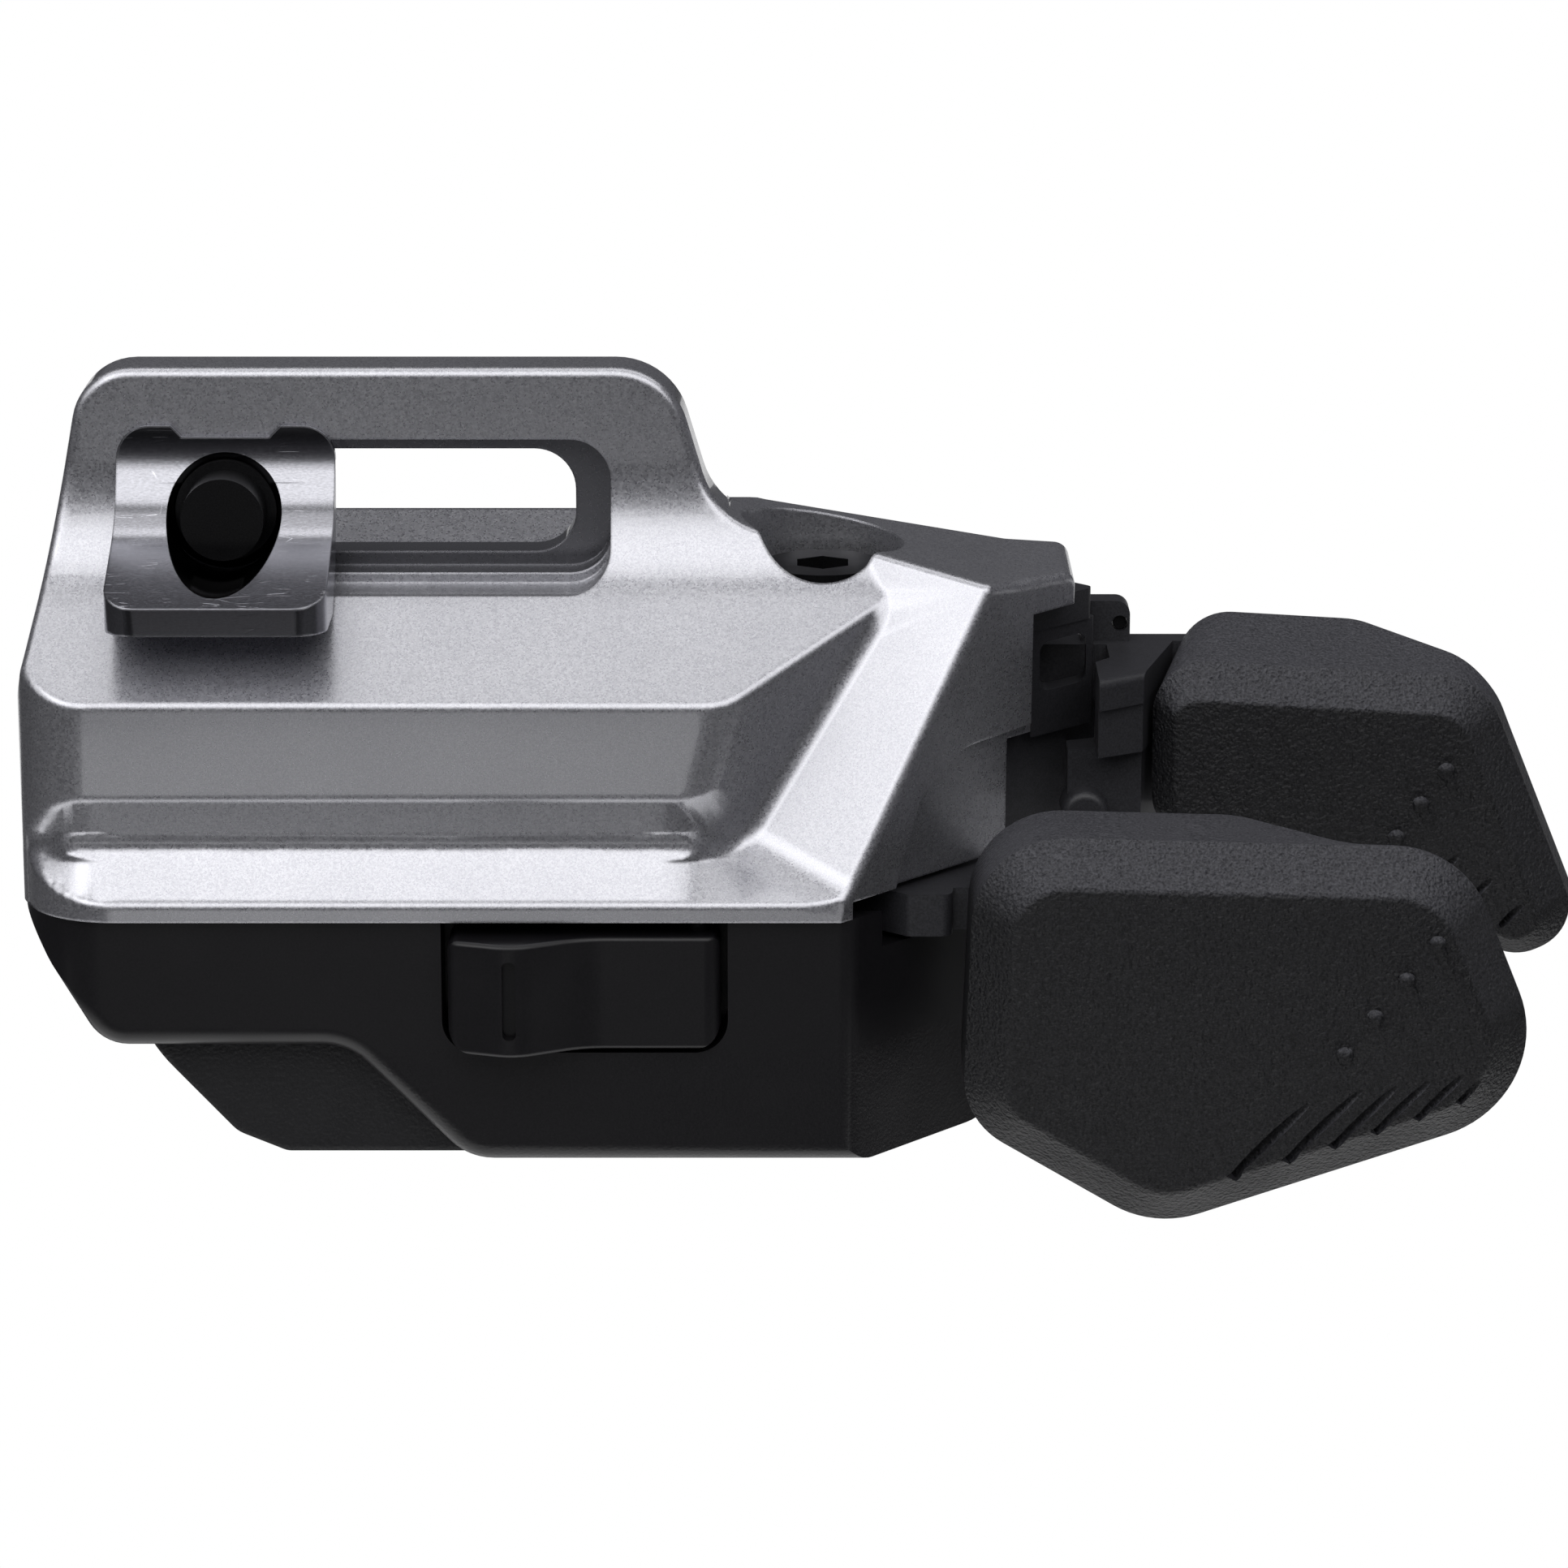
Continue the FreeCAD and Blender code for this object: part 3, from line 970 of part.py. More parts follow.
def lower_lever_arm():
    low, high = LOWER_ARM_BOTTOM, LOWER_ARM_TOP
    front = LOWER_PADDLE_BACK + RUN
    plan = [
        (PIVOT_X - 2.1, PIVOT_Y - 3.3, 0),
        (33.0, -2.2, 0.5),
        (35.1, -2.2, 0.5),
        (35.2, front, 0),
        (FLANGE_RIGHT, front, 0),
        (FLANGE_RIGHT, LOWER_FLANGE_BACK, 0),
        (38.5, 2.2, 1.0),
        (33.0, PIVOT_Y + 3.0, 1.0),
        (PIVOT_X, PIVOT_Y + 4.0, 0),
    ]
    arm = prism(plan, "XY", low, high)
    flange = prism([(37.5, -27.4, 1.5), (FLANGE_RIGHT, -27.4, 1.5), (FLANGE_RIGHT, high, 0.8), (37.5, high, 0)],
                   "XZ", front, LOWER_FLANGE_BACK)
    body = joined(arm, hub(low, high), tail(low, high), flange)
    tools = [hub_bore(low, high)]
    for x, z in LOWER_SCREWS:
        tools.append(rod(x, z, SCREW_SHANK + RUN, front - 1, LOWER_FLANGE_BACK + 1))
    return cut(body, *tools)


def back_screw(x, z, seat, length):
    """Screw along Y with its head behind the seat."""
    head = rod(x, z, SCREW_HEAD, seat, seat + SCREW_HEAD_HEIGHT)
    shank = rod(x, z, SCREW_SHANK, seat - length, seat)
    back = seat + SCREW_HEAD_HEIGHT
    slot_across = box((x - 1.0, x + 1.0), (back - 0.5, back + 1), (z - 0.22, z + 0.22))
    slot_along = box((x - 0.22, x + 0.22), (back - 0.5, back + 1), (z - 1.0, z + 1.0))
    return cut(joined(head, shank), slot_across, slot_along)


nodes["upper_lever_arm"] = upper_lever_arm()
nodes["lower_lever_arm"] = lower_lever_arm()
nodes["upper_paddle_screws"] = Part.makeCompound(
    [back_screw(x, z, UPPER_FLANGE_BACK, FLANGE + 2.5) for x, z in UPPER_SCREWS])
nodes["lower_paddle_screws"] = Part.makeCompound(
    [back_screw(x, z, LOWER_FLANGE_BACK, FLANGE + 2.5) for x, z in LOWER_SCREWS])
nodes["upper_adjust_screw"] = rod(ADJUST_X, ADJUST_Z, ADJUST_RADIUS, 11.3, UPPER_FLANGE_BACK)


def paddle(front_outline, lean, plan, front, bevel, back):
    """Thumb pad with a thick root, a thin tip and a bevelled rim."""
    face = Part.Face(rounded_wire(front_outline, lambda p: Vector(p.x, front, p.y)))
    body = face.extrude(lean * (back - front))
    body = body.makeChamfer(bevel, [e for e in body.Edges if abs(middle(e).y - front) < 1e-3])
    body = body.makeFillet(BEVEL_ROUND * bevel, [e for e in body.Edges if abs(middle(e).y - front) < 1e-3])
    return body.common(prism(plan, "XY", -40, 0))


def ridge(x, z, length, front):
    """Raised line that starts at a dot and sinks into the pad at its lower end."""
    start = Vector(x, front + RIDGE_SINK, z)
    along = Vector(0.414 * length, RIDGE - RIDGE_SINK + 0.05, -0.91 * length)
    dot = Part.makeSphere(RIDGE_DOT, start)
    return dot if length < 0.5 else joined(dot, Part.makeCylinder(RIDGE, along.Length, start, along))


def groove(x, z, length, radius, front):
    """Tapering furrow that climbs from the rim and ends flat at its foot."""
    foot = Vector(x, front + radius, z)
    along = Vector(0.707 * length, -radius - 0.1, 0.707 * length)
    return Part.makeCone(radius, 0.15, along.Length, foot, along)


def gripped(pad, ridges, grooves, screws, front, back):
    raised = [ridge(x, z, length, front) for x, z, length in ridges]
    furrows = [groove(x, z, length, radius, front) for x, z, length, radius in grooves]
    holes = [rod(x, z, SCREW_SHANK + RUN, back - 2.6, back + 1) for x, z in screws]
    return cut(joined(pad, *raised), *furrows, *holes)


lower_front = [
    (36.1, -13.7, 4.4),
    (59.2, -14.3, 5.0),
    (64.3, -26.75, 5.4),
    (44.85, -33.35, 5.0),
    (35.55, -27.85, 3.8),
]
lower_plan = [
    (34.0, LOWER_PADDLE_FRONT - 1, 0),
    (66.0, LOWER_PADDLE_FRONT - 1, 0),
    (66.0, LOWER_TIP_BACK, 0),
    (53.8, LOWER_TIP_BACK, 3.0),
    (48.8, LOWER_PADDLE_BACK, 2.0),
    (34.0, LOWER_PADDLE_BACK, 0),
]
upper_front = [
    (44.75, -8.1, 2.6),
    (61.0, -9.05, 3.6),
    (66.25, -21.95, 2.3),
    (63.2, -23.35, 2.3),
    (44.8, -16.7, 2.6),
]
upper_plan = [
    (43.0, UPPER_PADDLE_FRONT - 1, 0),
    (68.0, UPPER_PADDLE_FRONT - 1, 0),
    (68.0, UPPER_TIP_BACK, 0),
    (62.0, UPPER_TIP_BACK, 3.0),
    (55.6, UPPER_PADDLE_BACK, 2.0),
    (43.0, UPPER_PADDLE_BACK, 0),
]
lower_ridges = [(57.9, -18.5, 5.2), (56.5, -20.3, 3.6), (55.05, -22.15, 1.9), (53.65, -24.0, 0)]
lower_grooves = [
    (48.3, -30.1, 5.2, 0.5),
    (50.9, -29.3, 5.0, 0.42),
    (53.1, -28.6, 4.3, 0.38),
    (55.1, -27.9, 3.7, 0.34),
    (57.1, -27.2, 3.1, 0.31),
    (59.1, -26.4, 2.0, 0.28),
]
upper_ridges = [(59.5, -13.2, 4.6), (58.3, -14.9, 3.0), (57.15, -16.6, 1.5)]
upper_grooves = [(62.3, -21.2, 1.6, 0.3), (60.2, -20.4, 2.4, 0.34), (58.1, -19.6, 3.0, 0.38)]
lower_pad = paddle(lower_front, BACK, lower_plan, LOWER_PADDLE_FRONT, LOWER_BEVEL, LOWER_PADDLE_BACK)
upper_pad = paddle(upper_front, UPPER_LEAN, upper_plan, UPPER_PADDLE_FRONT, UPPER_BEVEL, UPPER_PADDLE_BACK)
nodes["lower_paddle"] = gripped(lower_pad, lower_ridges, lower_grooves, LOWER_SCREWS, LOWER_PADDLE_FRONT,
                                LOWER_PADDLE_BACK)
nodes["upper_paddle"] = gripped(upper_pad, upper_ridges, upper_grooves, UPPER_SCREWS, UPPER_PADDLE_FRONT,
                                UPPER_PADDLE_BACK)

os.makedirs("parts", exist_ok=True)
for name, shape in nodes.items():
    shape.exportStep("parts/" + name + ".step")
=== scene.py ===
import bmesh
import bpy
import json
import math
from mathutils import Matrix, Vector


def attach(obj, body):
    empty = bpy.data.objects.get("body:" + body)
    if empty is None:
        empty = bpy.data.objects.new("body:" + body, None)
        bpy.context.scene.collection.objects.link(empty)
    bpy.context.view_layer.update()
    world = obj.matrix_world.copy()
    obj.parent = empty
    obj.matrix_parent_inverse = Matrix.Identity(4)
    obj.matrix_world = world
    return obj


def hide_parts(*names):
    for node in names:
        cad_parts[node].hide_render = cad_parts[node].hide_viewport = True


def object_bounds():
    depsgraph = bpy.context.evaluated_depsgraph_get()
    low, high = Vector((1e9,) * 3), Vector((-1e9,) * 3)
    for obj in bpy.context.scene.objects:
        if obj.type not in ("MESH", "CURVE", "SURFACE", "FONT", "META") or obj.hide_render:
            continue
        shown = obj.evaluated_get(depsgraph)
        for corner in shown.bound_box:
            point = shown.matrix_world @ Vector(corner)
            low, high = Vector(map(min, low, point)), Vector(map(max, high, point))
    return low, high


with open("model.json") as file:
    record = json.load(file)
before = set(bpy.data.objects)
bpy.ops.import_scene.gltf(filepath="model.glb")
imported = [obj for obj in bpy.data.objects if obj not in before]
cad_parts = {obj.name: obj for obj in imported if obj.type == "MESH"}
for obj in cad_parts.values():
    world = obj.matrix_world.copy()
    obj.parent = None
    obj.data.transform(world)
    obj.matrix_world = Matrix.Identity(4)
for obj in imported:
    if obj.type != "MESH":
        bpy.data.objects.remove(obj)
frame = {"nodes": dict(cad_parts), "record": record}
cad_box = [list(corner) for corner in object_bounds()]

MM = 0.001                      # lengths below are in millimetres unless they say otherwise
SOFT = 0.55                     # roughness of every noise pattern: no hard steps between its layers
EDGE_SAMPLES = 4                # rays that round an edge in shading
FACTOR, FIRST, SECOND, MIXED = 0, 6, 7, 2    # colour sockets of the Mix node, whose names repeat


# Materials: how a node tree is built

def colour(code):
    """Linear colour of an sRGB hex code."""
    levels = [int(code[i:i + 2], 16) / 255 for i in (1, 3, 5)]
    return [v / 12.92 if v <= 0.04045 else ((v + 0.055) / 1.055) ** 2.4 for v in levels] + [1.0]


def fill(tree, node, inputs):
    """Sets a node's inputs, or links them where the value is another node's output."""
    for socket, value in inputs.items():
        if isinstance(value, bpy.types.NodeSocket):
            tree.links.new(value, node.inputs[socket])
        else:
            node.inputs[socket].default_value = value


def add(tree, kind, inputs=None, stops=(), **settings):
    """Adds one node with its settings and links; stops are the places and colours of a colour ramp."""
    node = tree.nodes.new(kind)
    for key, value in settings.items():
        setattr(node, key, value)
    for number, (spot, code) in enumerate(stops):
        node.color_ramp.elements[number].position = spot
        node.color_ramp.elements[number].color = colour(code)
    fill(tree, node, inputs or {})
    return node


def per_metre(size):
    """Scale of a pattern whose features are about size across."""
    return 1 / (size * MM)


def start(name):
    """New material with its shader and the piece's own coordinates."""
    material = bpy.data.materials.new(name)
    material.use_nodes = True
    tree = material.node_tree
    place = add(tree, "ShaderNodeTexCoord").outputs["Object"]
    return material, tree, tree.nodes["Principled BSDF"], place


def facing(tree, axis):
    """How far the surface looks along an axis of the part, from -1 to 1."""
    normal = add(tree, "ShaderNodeTexCoord").outputs["Normal"]
    return add(tree, "ShaderNodeSeparateXYZ", {"Vector": normal}).outputs[axis]


def within(tree, place, limits):
    """1 inside a box given by its limits along X, Y and Z, 0 outside."""
    axes = add(tree, "ShaderNodeSeparateXYZ", {"Vector": place}).outputs
    inside = None
    for axis, (low, high) in zip(axes, limits):
        middle, half = (low + high) / 2 * MM, (high - low) / 2 * MM
        test = add(tree, "ShaderNodeMath", {0: axis, 1: middle, 2: half}, operation="COMPARE").outputs[0]
        if inside is None:
            inside = test
        else:
            inside = add(tree, "ShaderNodeMath", {0: inside, 1: test}, operation="MULTIPLY").outputs[0]
    return inside


# Materials of the parts that show most

SLOT_POCKET = ((-6.0, 20.4), (4.53, 7.95), (-3.34, 3.34))    # recess in the plate that the washer slides in
WASHER_BORE = 2.78


def silver_flake_paint():
    """Cast aluminium, sprayed with silver flake paint and lacquered.

    The flakes give a fine sparkle in a soft metal sheen, and the lacquer a thin sharp gloss over it. Real flakes
    are about 0.03 mm, too fine to show, so they are drawn at the width of a pixel of the render. The slot's recess
    is painted darker than the open faces, as painted shade.
    """
    material, tree, shader, place = start("silver_flake_paint")
    flakes = add(tree, "ShaderNodeTexVoronoi", {"Vector": place, "Scale": per_metre(0.07)}, feature="F1")
    level = add(tree, "ShaderNodeSeparateColor", {"Color": flakes.outputs["Color"]}).outputs[0]
    tone = add(tree, "ShaderNodeValToRGB", {"Fac": level},
               stops=((0.0, "#adadb3"), (1.0, "#cdcdd2"))).outputs["Color"]
    cloud = add(tree, "ShaderNodeTexNoise", {"Vector": place, "Scale": per_metre(6.0), "Detail": 3.0,
                                             "Roughness": SOFT}).outputs["Fac"]
    drift = add(tree, "ShaderNodeMapRange", {"Value": cloud, "From Min": 0.35, "From Max": 0.7,
                                             "To Min": 0.0, "To Max": 0.16}).outputs["Result"]
    tone = add(tree, "ShaderNodeMix", {FACTOR: drift, FIRST: tone, SECOND: colour("#9a9aa1")},
               data_type="RGBA").outputs[MIXED]
    # Painted shade: the slot's recess is mixed towards a darker grey
    pocket_shade = within(tree, place, SLOT_POCKET)
    tone = add(tree, "ShaderNodeMix", {FACTOR: pocket_shade, FIRST: tone, SECOND: colour("#77777c")},
               data_type="RGBA").outputs[MIXED]
    rough = add(tree, "ShaderNodeMapRange", {"Value": level, "From Min": 0.0, "From Max": 1.0,
                                             "To Min": 0.26, "To Max": 0.38}).outputs["Result"]
    # Orange peel of the spray, over edges that the paint has rounded
    peel = add(tree, "ShaderNodeTexNoise", {"Vector": place, "Scale": per_metre(0.09), "Detail": 2.0,
                                            "Roughness": SOFT}).outputs["Fac"]
    edge = add(tree, "ShaderNodeBevel", {"Radius": 0.2 * MM}, samples=EDGE_SAMPLES).outputs["Normal"]
    skin = add(tree, "ShaderNodeBump", {"Height": peel, "Distance": 0.012 * MM, "Strength": 0.1,
                                        "Normal": edge}).outputs["Normal"]
    fill(tree, shader, {"Base Color": tone, "Metallic": 0.86, "Roughness": rough, "Normal": skin,
                        "Coat Weight": 0.6, "Coat Roughness": 0.06, "Coat IOR": 1.5})
    return material


def blasted_aluminium():
    """Bare aluminium, blasted and then polished by use, with scratches from the clamp.

    The hollowed seat gives bright and dark bands; front faces and the hole are painted dark, as painted shade.
    The blasted grit is about 0.03 mm, too fine to show, so it is drawn at the width of a pixel of the render.
    """
    material, tree, shader, place = start("blasted_aluminium")
    lengthwise = add(tree, "ShaderNodeMapping", {"Vector": place, "Scale": (0.4, 1.0, 1.0)}).outputs["Vector"]
    grit = add(tree, "ShaderNodeTexNoise", {"Vector": lengthwise, "Scale": per_metre(0.07), "Detail": 2.0,
                                            "Roughness": SOFT}).outputs["Fac"]
    tone = add(tree, "ShaderNodeValToRGB", {"Fac": grit},
               stops=((0.3, "#9c9ca1"), (0.7, "#b2b2b8"))).outputs["Color"]
    # Scratches: the edges of long slanted cells, kept only in patches
    slanted = add(tree, "ShaderNodeMapping", {"Vector": place, "Rotation": (0.3, 0.7, 0.5),
                                              "Scale": (0.12, 1.0, 1.0)}).outputs["Vector"]
    away = add(tree, "ShaderNodeTexVoronoi", {"Vector": slanted, "Scale": per_metre(0.55)},
               feature="DISTANCE_TO_EDGE").outputs["Distance"]
    lines = add(tree, "ShaderNodeMapRange", {"Value": away, "From Min": 0.0, "From Max": 0.012,
                                             "To Min": 1.0, "To Max": 0.0}).outputs["Result"]
    patch = add(tree, "ShaderNodeTexNoise", {"Vector": place, "Scale": per_metre(1.6), "Detail": 3.0,
                                             "Roughness": SOFT}).outputs["Fac"]
    some = add(tree, "ShaderNodeMapRange", {"Value": patch, "From Min": 0.54, "From Max": 0.62,
                                            "To Min": 0.0, "To Max": 1.0}).outputs["Result"]
    marks = add(tree, "ShaderNodeMath", {0: lines, 1: some}, operation="MULTIPLY").outputs[0]
    tone = add(tree, "ShaderNodeMix", {FACTOR: marks, FIRST: tone, SECOND: colour("#d4d4da")},
               data_type="RGBA").outputs[MIXED]
    # Painted shade: faces that look straight forward are mixed towards dark grey
    front_shade = add(tree, "ShaderNodeMapRange", {"Value": facing(tree, "Y"), "From Min": -0.995, "From Max": -0.93,
                                            "To Min": 0.8, "To Max": 0.0}).outputs["Result"]
    tone = add(tree, "ShaderNodeMix", {FACTOR: front_shade, FIRST: tone, SECOND: colour("#39393d")},
               data_type="RGBA").outputs[MIXED]
    # Painted shade: the hole through the washer is coloured near black
    axes = add(tree, "ShaderNodeSeparateXYZ", {"Vector": place}).outputs
    across = add(tree, "ShaderNodeCombineXYZ", {"X": axes["X"], "Z": axes["Z"]}).outputs[0]
    off_axis = add(tree, "ShaderNodeVectorMath", {0: across}, operation="LENGTH").outputs["Value"]
    bore_shade = add(tree, "ShaderNodeMath", {0: off_axis, 1: WASHER_BORE * MM}, operation="LESS_THAN").outputs[0]
    tone = add(tree, "ShaderNodeMix", {FACTOR: bore_shade, FIRST: tone, SECOND: colour("#0b0b0c")},
               data_type="RGBA").outputs[MIXED]
    rough = add(tree, "ShaderNodeMapRange", {"Value": grit, "From Min": 0.0, "From Max": 1.0,
                                             "To Min": 0.17, "To Max": 0.25}).outputs["Result"]
    edge = add(tree, "ShaderNodeBevel", {"Radius": 0.16 * MM}, samples=EDGE_SAMPLES).outputs["Normal"]
    blasted = add(tree, "ShaderNodeBump", {"Height": grit, "Distance": 0.006 * MM, "Strength": 0.12,
                                           "Normal": edge}).outputs["Normal"]
    scratched = add(tree, "ShaderNodeBump", {"Height": marks, "Distance": -0.01 * MM, "Strength": 0.3,
                                             "Normal": blasted}).outputs["Normal"]
    fill(tree, shader, {"Base Color": tone, "Metallic": 1.0, "Roughness": rough, "Normal": scratched})
    return material


# Materials with one grain all over

def on_front(tree):
    """1 on faces that look forward, half on the sides and top, where the paddles' grain is shallower."""
    return add(tree, "ShaderNodeMapRange", {"Value": facing(tree, "Y"), "From Min": -0.55, "From Max": -0.3,
                                            "To Min": 1.0, "To Max": 0.5}).outputs["Result"]


def low_down(tree):
    """1 below the step of the lower housing, where its grain is, and little above it."""
    place = add(tree, "ShaderNodeTexCoord").outputs["Object"]
    level = add(tree, "ShaderNodeSeparateXYZ", {"Vector": place}).outputs["Z"]
    return add(tree, "ShaderNodeMapRange", {"Value": level, "From Min": -25.2 * MM, "From Max": -24.6 * MM,
                                            "To Min": 1.0, "To Max": 0.12}).outputs["Result"]


def grained(name, tones, grain, depth, strength, rough, metallic=0.0, gloss=0.5, edge=0.0, where=None, upper=None):
    """Surface with one fine grain in its height, tone and gloss, all over or where a mask says.

    tones are its darkest and lightest colour, upper the same for faces that look up, which are painted paler as
    painted light from above. grain is the pebbles' width and depth their height. edge is the radius that the tool
    left on edges.
    """
    material, tree, shader, place = start(name)
    if where is not None:
        strength = add(tree, "ShaderNodeMath", {0: where(tree), 1: strength}, operation="MULTIPLY").outputs[0]
    pebbles = add(tree, "ShaderNodeTexVoronoi", {"Vector": place, "Scale": per_metre(grain)},
                  feature="SMOOTH_F1").outputs["Distance"]
    fine = add(tree, "ShaderNodeTexNoise", {"Vector": place, "Scale": per_metre(grain * 0.6), "Detail": 2.0,
                                            "Roughness": SOFT}).outputs["Fac"]
    height = add(tree, "ShaderNodeMath", {0: pebbles, 1: fine}, operation="ADD").outputs[0]
    tone = add(tree, "ShaderNodeValToRGB", {"Fac": fine},
               stops=((0.3, tones[0]), (0.7, tones[1]))).outputs["Color"]
    if upper is not None:
        # Painted light: faces that look up are mixed towards the paler upper tones
        top_light_tone = add(tree, "ShaderNodeValToRGB", {"Fac": fine},
                    stops=((0.3, upper[0]), (0.7, upper[1]))).outputs["Color"]
        faces_up_light = add(tree, "ShaderNodeMapRange", {"Value": facing(tree, "Z"), "From Min": 0.15, "From Max": 0.6,
                                                  "To Min": 0.0, "To Max": 1.0}).outputs["Result"]
        tone = add(tree, "ShaderNodeMix", {FACTOR: faces_up_light, FIRST: tone, SECOND: top_light_tone},
                   data_type="RGBA").outputs[MIXED]
    # Wear: patches of a few millimetres where handling has changed the gloss
    worn = add(tree, "ShaderNodeTexNoise", {"Vector": place, "Scale": per_metre(4.0), "Detail": 5.0,
                                            "Roughness": SOFT}).outputs["Fac"]
    sheen = add(tree, "ShaderNodeMapRange", {"Value": worn, "From Min": 0.3, "From Max": 0.7,
                                             "To Min": rough[0], "To Max": rough[1]}).outputs["Result"]
    relief = {"Height": height, "Distance": depth * MM, "Strength": strength}
    if edge:
        relief["Normal"] = add(tree, "ShaderNodeBevel", {"Radius": edge * MM},
                               samples=EDGE_SAMPLES).outputs["Normal"]
    fill(tree, shader, {"Base Color": tone, "Metallic": metallic, "Roughness": sheen, "Specular IOR Level": gloss,
                        "Normal": add(tree, "ShaderNodeBump", relief).outputs["Normal"]})
    return material


def board_laminate():
    """Glass laminate under green lacquer: a glossy green with faint paler tracks, in rows of about 0.28 mm."""
    units_per_metre = 900.0     # a row of tracks is a quarter of a unit high
    material, tree, shader, place = start("board_laminate")
    tracks = add(tree, "ShaderNodeTexBrick", {"Vector": place, "Scale": units_per_metre, "Mortar Size": 0.06,
                                              "Color1": colour("#0f5a34"), "Color2": colour("#116138"),
                                              "Mortar": colour("#1c7a4a")})
    cloud = add(tree, "ShaderNodeTexNoise", {"Vector": place, "Scale": per_metre(1.5), "Detail": 3.0,
                                             "Roughness": SOFT}).outputs["Fac"]
    rough = add(tree, "ShaderNodeMapRange", {"Value": cloud, "From Min": 0.0, "From Max": 1.0,
                                             "To Min": 0.3, "To Max": 0.45}).outputs["Result"]
    raised = add(tree, "ShaderNodeBump", {"Height": tracks.outputs["Fac"], "Distance": 0.02 * MM,
                                          "Strength": 0.3}).outputs["Normal"]
    fill(tree, shader, {"Base Color": tracks.outputs["Color"], "Roughness": rough, "Normal": raised})
    return material


# Real grains of the fasteners' coatings, platings and fine mouldings are some hundredths of a millimetre. They are
# drawn at 0.1 mm and more, because a pixel of the render is about 0.08 mm.
MATERIALS = {
    "cast_silver": silver_flake_paint(),
    "blasted_metal": blasted_aluminium(),
    # Oiled black oxide: nearly black, with a dull metal shine on edges
    "black_steel": grained("black_oxide_steel", ("#0b0b0c", "#1c1c1e"), 0.12, 0.006, 0.2, (0.32, 0.45),
                           metallic=0.6),
    # Plain turned steel: grey and bright
    "steel": grained("plain_steel", ("#77777b", "#a5a5aa"), 0.2, 0.006, 0.2, (0.25, 0.4), metallic=1.0),
    # Glass-filled nylon from a polished tool, grained below its step: smooth satin black, then matt
    "black_polymer": grained("black_moulded_polymer", ("#0b0a0d", "#151417"), 0.16, 0.02, 0.5, (0.34, 0.42),
                             gloss=0.42, where=low_down),
    # The same nylon from an etched tool: matt black with a pebbled look
    "grained_polymer": grained("grained_black_polymer", ("#0e0e10", "#1a1a1d"), 0.22, 0.05, 0.6, (0.42, 0.54),
                               edge=0.4),
    # Die-cast zinc under black coating: dark grey and even, with soft highlights
    "black_casting": grained("black_coated_casting", ("#222225", "#37373b"), 0.15, 0.012, 0.2, (0.38, 0.5)),
    # Moulded rubber with a leathery grain: no clear reflections, black in front, painted paler where it looks up
    # as painted light
    "paddle_rubber": grained("grained_black_rubber", ("#09090b", "#232326"), 0.2, 0.12, 1.0, (0.44, 0.56),
                             gloss=0.32, where=on_front, upper=("#2e2e32", "#55555a")),
    # Silicone rubber, pressed: deep matt black
    "seal_rubber": grained("seal_rubber", ("#080809", "#121214"), 0.3, 0.01, 0.2, (0.6, 0.7)),
    "board_laminate": board_laminate(),
    # Tinned sheet: pale grey with a milky shine
    "shield_can": grained("tinned_steel", ("#8b8b8d", "#b4b4b6"), 0.5, 0.008, 0.2, (0.3, 0.42), metallic=1.0),
    # Nickel plate: bright, with a warm white shine
    "cell_steel": grained("nickel_plated_steel", ("#a9a9ac", "#c8c8cb"), 0.4, 0.004, 0.15, (0.16, 0.28),
                          metallic=1.0),
    # Rolled and plated brass: yellow and bright
    "contact_metal": grained("plated_spring_brass", ("#9a8148", "#c5a963"), 0.3, 0.005, 0.15, (0.22, 0.34),
                             metallic=1.0),
    # Moulded nylon of the small switches: dark grey, half matt
    "switch_polymer": grained("switch_polymer", ("#1a1a1b", "#29292b"), 0.2, 0.01, 0.2, (0.42, 0.55)),
    # Acetal of the bushes: waxy and sand-coloured
    "bush_polymer": grained("bearing_polymer", ("#77715c", "#8f886f"), 0.25, 0.008, 0.2, (0.42, 0.55)),
}


# Pieces: what their meshes get beyond the CAD's

WELD = 0.0004       # vertices nearer than this are one
SHARP = 32          # degrees between faces above which an edge stays sharp


